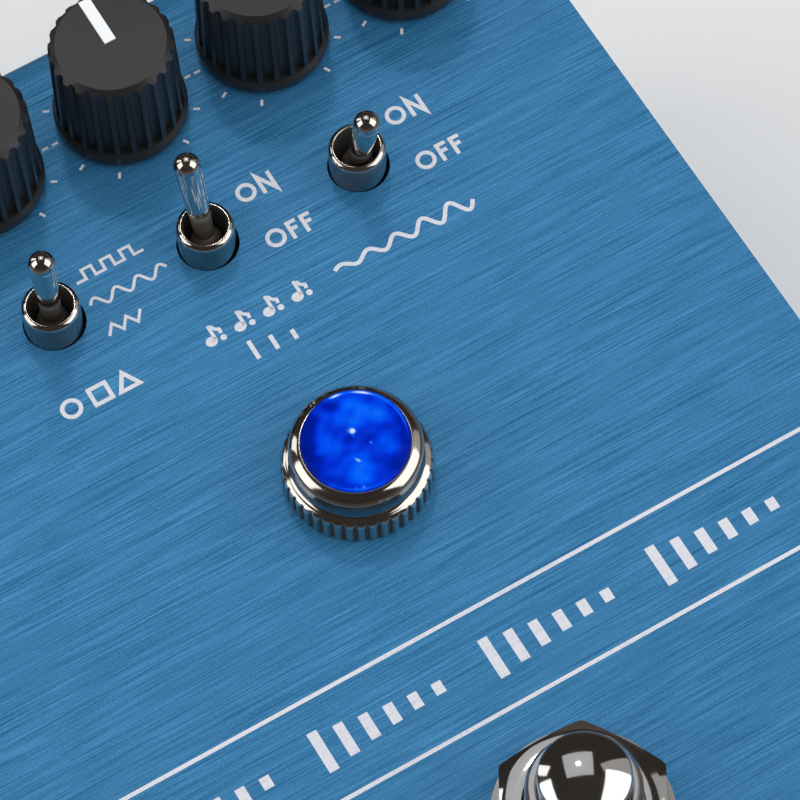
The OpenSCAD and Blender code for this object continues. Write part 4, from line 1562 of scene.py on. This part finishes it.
class Stroke:
    """Flat strokes of ink on a panel, gathered into one piece."""

    def __init__(self, panel: Panel, proud: float = 0.02 * MM, sunk: float = 0.004 * MM) -> None:
        """Start an empty print.

        Args:
            panel: The surface that it lies on.
            proud: Its height above the surface.
            sunk: Its depth below.
        """
        self.panel = panel
        self.heights = (-sunk, proud)
        self.points: list[np.ndarray] = []
        self.faces: list[Sequence[int]] = []
        self.count = 0

    def line(self, path: Sequence[Sequence[float]], width: float, closed: bool = False) -> None:
        """A band of even width along a path, mitred at its corners: a rectangle carried along it.

        Args:
            path: Points of (x, s) in millimetres.
            width: The band's width in millimetres.
            closed: Whether the last point joins the first.
        """
        p = np.asarray(path, float) * MM
        after = np.roll(p, -1, 0) - p
        normal = np.stack([-after[:, 1], after[:, 0]], -1)
        normal /= np.maximum(np.linalg.norm(normal, axis=1, keepdims=True), 1e-12)
        before = np.roll(normal, 1, 0)
        if not closed:
            normal[-1] = normal[-2]
            before[0] = normal[0]
        mitre = (normal + before) / (1 + (normal * before).sum(1, keepdims=True))
        low, high = self.heights
        sides = [p + 0.5 * width * MM * mitre, p - 0.5 * width * MM * mitre]
        rows = [np.column_stack([side, np.full(len(p), h)]) for side in sides for h in (low, high)]
        grid = np.stack([rows[0], rows[1], rows[3], rows[2]], 1)
        n = len(p)
        faces = np.array(grid_faces(n + (1 if closed else 0), 4)) % (4 * n)
        self.faces += (faces + self.count).tolist()
        if not closed:
            self.faces += [[self.count + k for k in range(4)], [self.count + 4 * n - 4 + k for k in range(4)]]
        self.points.append(grid.reshape(-1, 3))
        self.count += 4 * n

    def loop(self, centre: tuple[float, float], radii: tuple[float, float], width: float) -> None:
        """An ellipse drawn with a band.

        Args:
            centre: Its centre in millimetres.
            radii: Its half sizes to the band's middle.
            width: The band's width.
        """
        a = np.arange(48) * TAU / 48
        path = np.array(centre) + np.array(radii) * np.stack([np.cos(a), np.sin(a)], -1)
        self.line(path, width, True)

    def disc(self, centre: tuple[float, float], radius: float) -> None:
        """A filled dot: a band along a ring of half its radius, a hair short of the middle."""
        self.loop(centre, (radius / 2, radius / 2), radius * 0.999)

    def spell(self, word: str, x: float, low: float, cap: float, width: float) -> None:
        """Draw a word in plain round capitals.

        Args:
            word: Made of O, N and F.
            x: Left edge.
            low: Base line.
            cap: Height of the capitals.
            width: The stroke's width.
        """
        high, mid = low + cap, low + cap / 2
        n_wide, f_wide, f_bar, f_lift, gap = 0.8 * cap, 0.55 * cap, 0.48 * cap, 0.1, 0.42
        for letter in word:
            stem = x + width / 2
            if letter == "O":
                self.loop((x + cap / 2, mid), ((cap - width) / 2, (cap - width) / 2), width)
                x += cap + gap
            elif letter == "N":
                far = x + n_wide - width / 2
                self.line([(stem, low), (stem, high), (far, low), (far, high)], width)
                x += n_wide + gap
            else:
                self.line([(stem, low), (stem, high)], width)
                for level, reach in ((high - width / 2, f_wide), (mid + f_lift, f_bar)):
                    self.line([(x + width, level), (x + reach, level)], width)
                x += f_wide + gap

    def finish(self, name: str) -> None:
        """Make the piece, dress it and fix it to the shell.

        Args:
            name: The piece's name.
        """
        piece = mesh_piece(name, self.panel.to_row(np.vstack(self.points)), self.faces)
        piece.data.shade_flat()
        fit(piece, Coat.PRINT)


@dataclass(frozen=True)
class FacePrint:
    """White marks on the face, in millimetres from the lamp: waves, ON and OFF, notes, ticks and bars."""

    toggle_row: float = 32.6
    toggle_pitch: float = 19.0
    knob_row: float = 52.3
    knob_pitch: float = 18.0
    knob_turn: float = 150.0
    ticks: int = 11
    tick_reach: tuple[float, float] = (8.0, 8.75)
    tick_stroke: float = 0.3
    label_row: float = 21.16
    label_cap: float = 2.5
    label_stroke: float = 0.48
    circle_x: float = -22.4
    square_x: tuple[float, float] = (-19.9, -17.9)
    triangle_x: tuple[float, float] = (-16.9, -14.6)
    notes: int = 4
    note_left: float = -6.3
    note_pitch: float = 3.55
    note_stroke: float = 0.4
    note_head: tuple[float, float] = (0.72, 0.58)
    note_head_r: tuple[float, float] = (0.40, 0.30)
    note_head_stroke: float = 0.57
    note_stem: tuple[float, float] = (1.22, 0.62)
    note_flag: tuple[tuple[float, float], ...] = ((0.2, -0.2), (0.5, -0.72), (0.92, -1.0))
    note_tail: tuple[float, float] = (0.86, -1.5)
    note_dot: tuple[float, float] = (0.86, 0.4)
    note_dot_r: float = 0.36
    steps: int = 3
    step_row: float = 17.3
    step_left: float = -2.2
    step_pitch: float = 2.35
    step_fade: float = 0.24
    step_stroke: float = 0.5
    swell_left: float = 10.1
    swell_long: float = 17.4
    swell_turns: float = 5.0
    swell_start: float = 0.3
    small_cap: float = 1.6
    small_stroke: float = 0.34
    small_pitch: float = 3.75
    small_left: float = -14.85
    small_drop: float = 0.2
    square_step: float = 1.18
    round_long: float = 9.4
    round_turns: float = 3.5
    peak_step: float = 0.88
    word_left: float = 5.5
    word_cap: float = 2.36
    word_stroke: float = 0.46
    on_rise: float = 2.2
    off_drop: float = 4.47
    band_top: float = -19.72
    band_low: float = -31.36
    band_line: float = 0.46
    band_reach: float = 47.0
    bar_mid: float = -25.63
    bar_high: float = 4.93
    bar_width: float = 1.15
    bar_pitch: float = 2.75
    bar_fade: float = 0.78
    bars: int = 6
    bar_groups: tuple[float, ...] = (-40.0, -19.6, 0.8, 21.2)

    def waves(self, ink: Stroke) -> None:
        """Square, round and pointed waves beside the left toggle's three places.

        Args:
            ink: The print to draw into.
        """
        w = self.small_stroke
        half = (self.small_cap - w) / 2
        left, row = self.small_left + w / 2, self.toggle_row - self.small_drop
        edge = np.repeat(left + self.square_step * np.arange(8), 2)[1:-1]
        flip = np.repeat(np.where(np.arange(7) % 2 == 0, -1, 1), 2)
        ink.line(np.stack([edge, row + self.small_pitch + half * flip], -1), w)
        t = np.linspace(0, 1, 120)
        swing = row + half * np.sin(TAU * self.round_turns * t)
        ink.line(np.stack([left + self.round_long * t, swing], -1), w)
        peak = np.arange(6)
        tip = row - self.small_pitch + half * np.where(peak % 2 == 0, -1, 1)
        ink.line(np.stack([left + self.peak_step * peak, tip], -1), w)

    def words(self, ink: Stroke) -> None:
        """ON above and OFF below, right of the middle toggle and the right one.

        Args:
            ink: The print to draw into.
        """
        for left in (self.word_left, self.word_left + self.toggle_pitch):
            for word, low in (("ON", self.on_rise), ("OFF", -self.off_drop)):
                ink.spell(word, left, self.toggle_row + low, self.word_cap, self.word_stroke)

    def note(self, ink: Stroke, x: float, low: float) -> None:
        """A dotted note with a flag.

        Args:
            ink: The print to draw into.
            x: Left edge.
            low: Base line.
        """
        stem, high = x + self.note_stem[0], low + self.label_cap
        head = (x + self.note_head[0], low + self.note_head[1])
        ink.loop(head, self.note_head_r, self.note_head_stroke)
        ink.line([(stem, low + self.note_stem[1]), (stem, high)], self.note_stroke)
        flag = eased([(stem + out, high + rise) for out, rise in self.note_flag], 9)
        tail = (stem + self.note_tail[0], high + self.note_tail[1])
        ink.line([*flag, tail], self.note_stroke)
        ink.disc((stem + self.note_dot[0], low + self.note_dot[1]), self.note_dot_r)

    def signs(self, ink: Stroke) -> None:
        """Under the toggles: three shapes, dotted notes over falling bars, and a swelling wave.

        Args:
            ink: The print to draw into.
        """
        low, cap, w = self.label_row, self.label_cap, self.label_stroke
        mid, half = low + cap / 2, (cap - w) / 2
        ink.loop((self.circle_x, mid), (half, half), w)
        base, head = mid - half, mid + half
        near, far = self.square_x
        ink.line([(near, base), (far, base), (far, head), (near, head)], w, True)
        near, far = self.triangle_x
        ink.line([(near, base), (far, base), ((near + far) / 2, head)], w, True)
        for k in range(self.notes):
            self.note(ink, self.note_left + self.note_pitch * k, low)
        for k in range(self.steps):
            x = self.step_left + self.step_pitch * k
            rise = cap * (1 - self.step_fade * k)
            ink.line([(x, self.step_row), (x, self.step_row + rise)], self.step_stroke)
        t = np.linspace(0, 1, 200)
        swell = half * (self.swell_start + (1 - self.swell_start) * t)
        wave = mid + swell * np.sin(TAU * self.swell_turns * t)
        ink.line(np.stack([self.swell_left + self.swell_long * t, wave], -1), w)

    def band(self, ink: Stroke) -> None:
        """Two rules with trains of fading bars between them.

        Args:
            ink: The print to draw into.
        """
        for s in (self.band_top, self.band_low):
            ink.line([(-self.band_reach, s), (self.band_reach, s)], self.band_line)
        for start in self.bar_groups:
            for k in range(self.bars):
                x = start + self.bar_width / 2 + self.bar_pitch * k
                half = self.bar_high / 2 * self.bar_fade**k
                ink.line([(x, self.bar_mid - half), (x, self.bar_mid + half)], self.bar_width)

    def dials(self, ink: Stroke) -> None:
        """Eleven ticks round each knob.

        Args:
            ink: The print to draw into.
        """
        for k in range(len(KNOBS)):
            centre = np.array([(k - 2) * self.knob_pitch, self.knob_row])
            for turn in np.radians(np.linspace(-self.knob_turn, self.knob_turn, self.ticks)):
                way = np.array([math.sin(turn), math.cos(turn)])
                ink.line([centre + reach * way for reach in self.tick_reach], self.tick_stroke)

    def build(self, panel: Panel) -> None:
        """Print each group as its own piece.

        Args:
            panel: The face.
        """
        for name, draw in (
            ("print_waves", self.waves),
            ("print_on_off", self.words),
            ("print_signs", self.signs),
            ("print_band", self.band),
            ("print_dials", self.dials),
        ):
            ink = Stroke(panel)
            draw(ink)
            ink.finish(name)


# The footswitch


@dataclass(frozen=True)
class Footswitch:
    """Threaded bushing, chamfered nut, domed button and wound spring of the footswitch."""

    drop: float = 45.5022 * MM
    thread_r: float = 6.0 * MM
    thread_depth: float = 0.24 * MM
    thread_pitch: float = 0.75 * MM
    # Painted shade in the thread's roots.
    thread_root_shade: float = 0.7
    thread_steps: tuple[int, int] = (168, 144)
    end_bevel: float = 0.42 * MM
    small_bevel: float = 0.2 * MM
    top: float = 8.5 * MM
    foot: float = -4.0 * MM
    bore: float = 4.85 * MM
    nut_flat: float = 17.0 * MM
    nut_bore: float = 6.05 * MM
    nut_low: float = 0.8 * MM
    nut_thick: float = 2.5 * MM
    button_r: float = 4.8 * MM
    button_top: float = 13.0 * MM
    button_foot: float = -6.0 * MM
    crown: float = 1.4 * MM
    fillet: float = 0.5 * MM
    button_steps: tuple[int, int] = (40, 128)
    coil_r: float = 3.6 * MM
    wire_r: float = 0.25 * MM
    coil_turns: float = 3.5
    coil_steps: tuple[int, int] = (225, 12)
    coil_foot: float = -11.3 * MM
    coil_h: float = 5.2 * MM
    travel: float = 3.0 * MM

    def build_bushing(self, panel: Panel) -> bpy.types.Object:
        """A helical thread: r = R - d (1 - cos(2 pi h / pitch - a)) / 2, with a bevelled end.

        Args:
            panel: The face.

        Returns:
            The bushing.
        """
        rows, steps = self.thread_steps
        angle = np.arange(steps) * TAU / steps
        h = np.linspace(self.foot, self.top, rows)[:, None]
        wave = 0.5 - 0.5 * np.cos(TAU * h / self.thread_pitch - angle)
        thread = self.thread_r - self.thread_depth * wave
        thread = np.minimum(thread, self.thread_r + self.top - self.end_bevel - h)
        mouth_r, mouth_h = self.bore + self.small_bevel, self.top - self.small_bevel
        inside = np.array([(mouth_r, self.top), (self.bore, mouth_h), (self.bore, self.foot)])
        radius = np.vstack([thread, np.broadcast_to(inside[:, :1], (3, steps))])
        height = np.concatenate([h[:, 0], inside[:, 1]])
        # Painted shade in the thread's roots, through the groove map.
        groove = np.vstack([self.thread_root_shade * wave, np.zeros((3, steps))])
        return ring_loft("switch_bushing", panel, [(0.0, -self.drop)], radius, height, groove)

    def build_button(self, panel: Panel) -> bpy.types.Object:
        """A domed end over a straight side.

        Args:
            panel: The face.

        Returns:
            The button.
        """
        rows, steps = self.button_steps
        end = dome(self.button_r, self.button_top, self.crown, self.fillet, rows)
        side_low, foot_r = self.button_foot + self.small_bevel, self.button_r - self.small_bevel
        side = np.array([(self.button_r, side_low), (foot_r, self.button_foot)])
        points, faces = turned(np.vstack([end, side]), self.button_top, self.button_foot, steps)
        points -= np.array([0.0, self.drop, 0.0])
        return mesh_piece("switch_button", panel.to_row(points), faces)

    def build_spring(self, panel: Panel) -> bpy.types.Object:
        """A round wire carried along a helix: ((R + w cos b) cos a, (R + w cos b) sin a, rise + w sin b).

        Args:
            panel: The face.

        Returns:
            The spring.
        """
        rows, steps = self.coil_steps
        t = np.linspace(0.0, 1.0, rows)[:, None]
        b = np.arange(steps) * TAU / steps
        a, r = TAU * self.coil_turns * t, self.coil_r + self.wire_r * np.cos(b)
        rise = self.wire_r + (self.coil_h - 2 * self.wire_r) * t
        h = self.coil_foot + rise + self.wire_r * np.sin(b)
        wire = np.stack([r * np.cos(a), r * np.sin(a) - self.drop, h], -1).reshape(-1, 3)
        number = np.arange(len(wire))
        ends = [number[:steps].tolist(), number[: -steps - 1 : -1].tolist()]
        faces = grid_faces(rows, steps) + ends
        return mesh_piece("switch_spring", panel.to_row(wire), faces)

    def build(self, panel: Panel) -> None:
        """Make, dress and fix the pieces.

        Args:
            panel: The face.
        """
        nut = HexNut(self.nut_flat, self.nut_bore, self.nut_low, self.nut_thick)
        nut_piece = nut.build("switch_nut", panel, [(0.0, -self.drop)])
        spring = self.build_spring(panel)
        for piece, coat, slot, node, body in (
            (self.build_bushing(panel), Coat.THREAD, "chrome", "footswitch_bushing", ROOT),
            (nut_piece, Coat.CHROME, "chrome", "footswitch_nut", ROOT),
            (self.build_button(panel), Coat.CHROME, "chrome", "footswitch_button", "stomp_button"),
            (spring, Coat.STEEL, "steel", "footswitch_spring", ROOT),
        ):
            fit(piece, coat, node, body)
        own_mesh(spring)


# The rear wall


@dataclass(frozen=True)
class RearWall:
    """Socket nuts and plain signs on the rear wall, in millimetres from the sockets' row."""

    rear: float = 59.5
    row: float = 26.0
    socket_x: float = 28.0
    nut_flat: float = 12.7
    nut_bore: float = 4.8
    nut_low: float = 0.8
    nut_thick: float = 2.2
    arrow_low: float = 9.6
    arrow_high: float = 14.8
    arrow_head: tuple[float, float] = (1.3, 1.5)
    stroke: float = 0.46
    power_row: float = 5.6
    power_gap: float = 1.2
    power_half: float = 2.4
    dash_half: float = 0.5
    dash_places: tuple[float, ...] = (-1.9, 0.0, 1.9)
    slide_x: float = 12.3
    slide_row: float = -6.1
    off_left: float = 3.4
    on_left: float = -6.3
    word_cap: float = 1.5
    word_stroke: float = 0.32

    def panel(self) -> Panel:
        """The wall as a frame, seen from the rear."""
        axes = np.array([(-1.0, 0.0, 0.0), (0.0, 0.0, 1.0), (0.0, 1.0, 0.0)])
        return Panel(np.array([0.0, self.rear, self.row]) * MM, *axes)

    def arrow(self, ink: Stroke, x: float, tail: float, tip: float) -> None:
        """An upright arrow.

        Args:
            ink: The print to draw into.
            x: Its place across.
            tail: Height of its tail.
            tip: Height of its tip.
        """
        wing, head = self.arrow_head
        back = math.copysign(head, tail - tip)
        ink.line([(x, tail), (x, tip + 0.5 * back)], self.stroke)
        ink.line([(x - wing, tip + back), (x, tip), (x + wing, tip + back)], self.stroke)

    def marks(self, ink: Stroke) -> None:
        """An arrow in over one socket, an arrow out over the other, and a line over dashes for power.

        Args:
            ink: The print to draw into.
        """
        self.arrow(ink, -self.socket_x, self.arrow_high, self.arrow_low)
        self.arrow(ink, self.socket_x, self.arrow_low, self.arrow_high)
        line_row = self.power_row + self.power_gap
        ink.line([(-self.power_half, line_row), (self.power_half, line_row)], self.stroke)
        for x in self.dash_places:
            ends = (x - self.dash_half, x + self.dash_half)
            ink.line([(end, self.power_row) for end in ends], self.stroke)

    def build(self) -> None:
        """Make the nuts and print the signs."""
        panel = self.panel()
        sizes = (self.nut_flat, self.nut_bore, self.nut_low, self.nut_thick)
        nut = HexNut(*(MM * size for size in sizes))
        centres = [(side * self.socket_x * MM, 0.0) for side in (-1, 1)]
        fit(nut.build("socket_nuts", panel, centres), Coat.DULL, "jack_nuts")
        ink = Stroke(panel)
        self.marks(ink)
        ink.finish("print_rear")
        ink = Stroke(panel)
        for word, left in (("OFF", self.off_left), ("ON", self.on_left)):
            low = self.slide_row - self.word_cap / 2
            ink.spell(word, left - self.slide_x, low, self.word_cap, self.word_stroke)
        ink.finish("print_switch")


# The whole pedal


class Pedal:
    """The whole object: loads the frame, finds the face and dresses the nodes."""

    lamp_drop = 52.3 * MM

    def __init__(self) -> None:
        """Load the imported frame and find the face."""
        self.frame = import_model()
        self.cad_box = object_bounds()
        self.face = Panel.from_knob(self.frame["joints"], self.lamp_drop)

    def dress_nodes(self) -> None:
        """Give every node its finish."""
        for coat, names in NODE_COATS.items():
            for name in names:
                dress(self.frame["nodes"][name], coat)
        for knob in KNOBS:
            dress(self.frame["nodes"][f"{knob}_knob"], Coat.KNOB)
            dress(self.frame["nodes"][f"{knob}_pointer"], Coat.POINTER)
            dress(self.frame["nodes"][f"{knob}_shaft"], Coat.STEEL)
        LOG.info("dressed %d nodes", len(self.frame["nodes"]))


def main() -> None:
    """Build the pedal's looks in order."""
    logging.basicConfig(level=logging.INFO, format="%(message)s")
    bpy.context.scene.view_settings.view_transform = "Standard"
    pedal = Pedal()
    PhotoCamera().build(pedal.face)
    Studio().build(pedal.face)
    pedal.dress_nodes()
    JewelLamp().build(pedal.face)
    ToggleRow().build(pedal.face)
    Footswitch().build(pedal.face)
    FacePrint().build(pedal.face)
    RearWall().build()


if __name__ == "__main__":
    main()
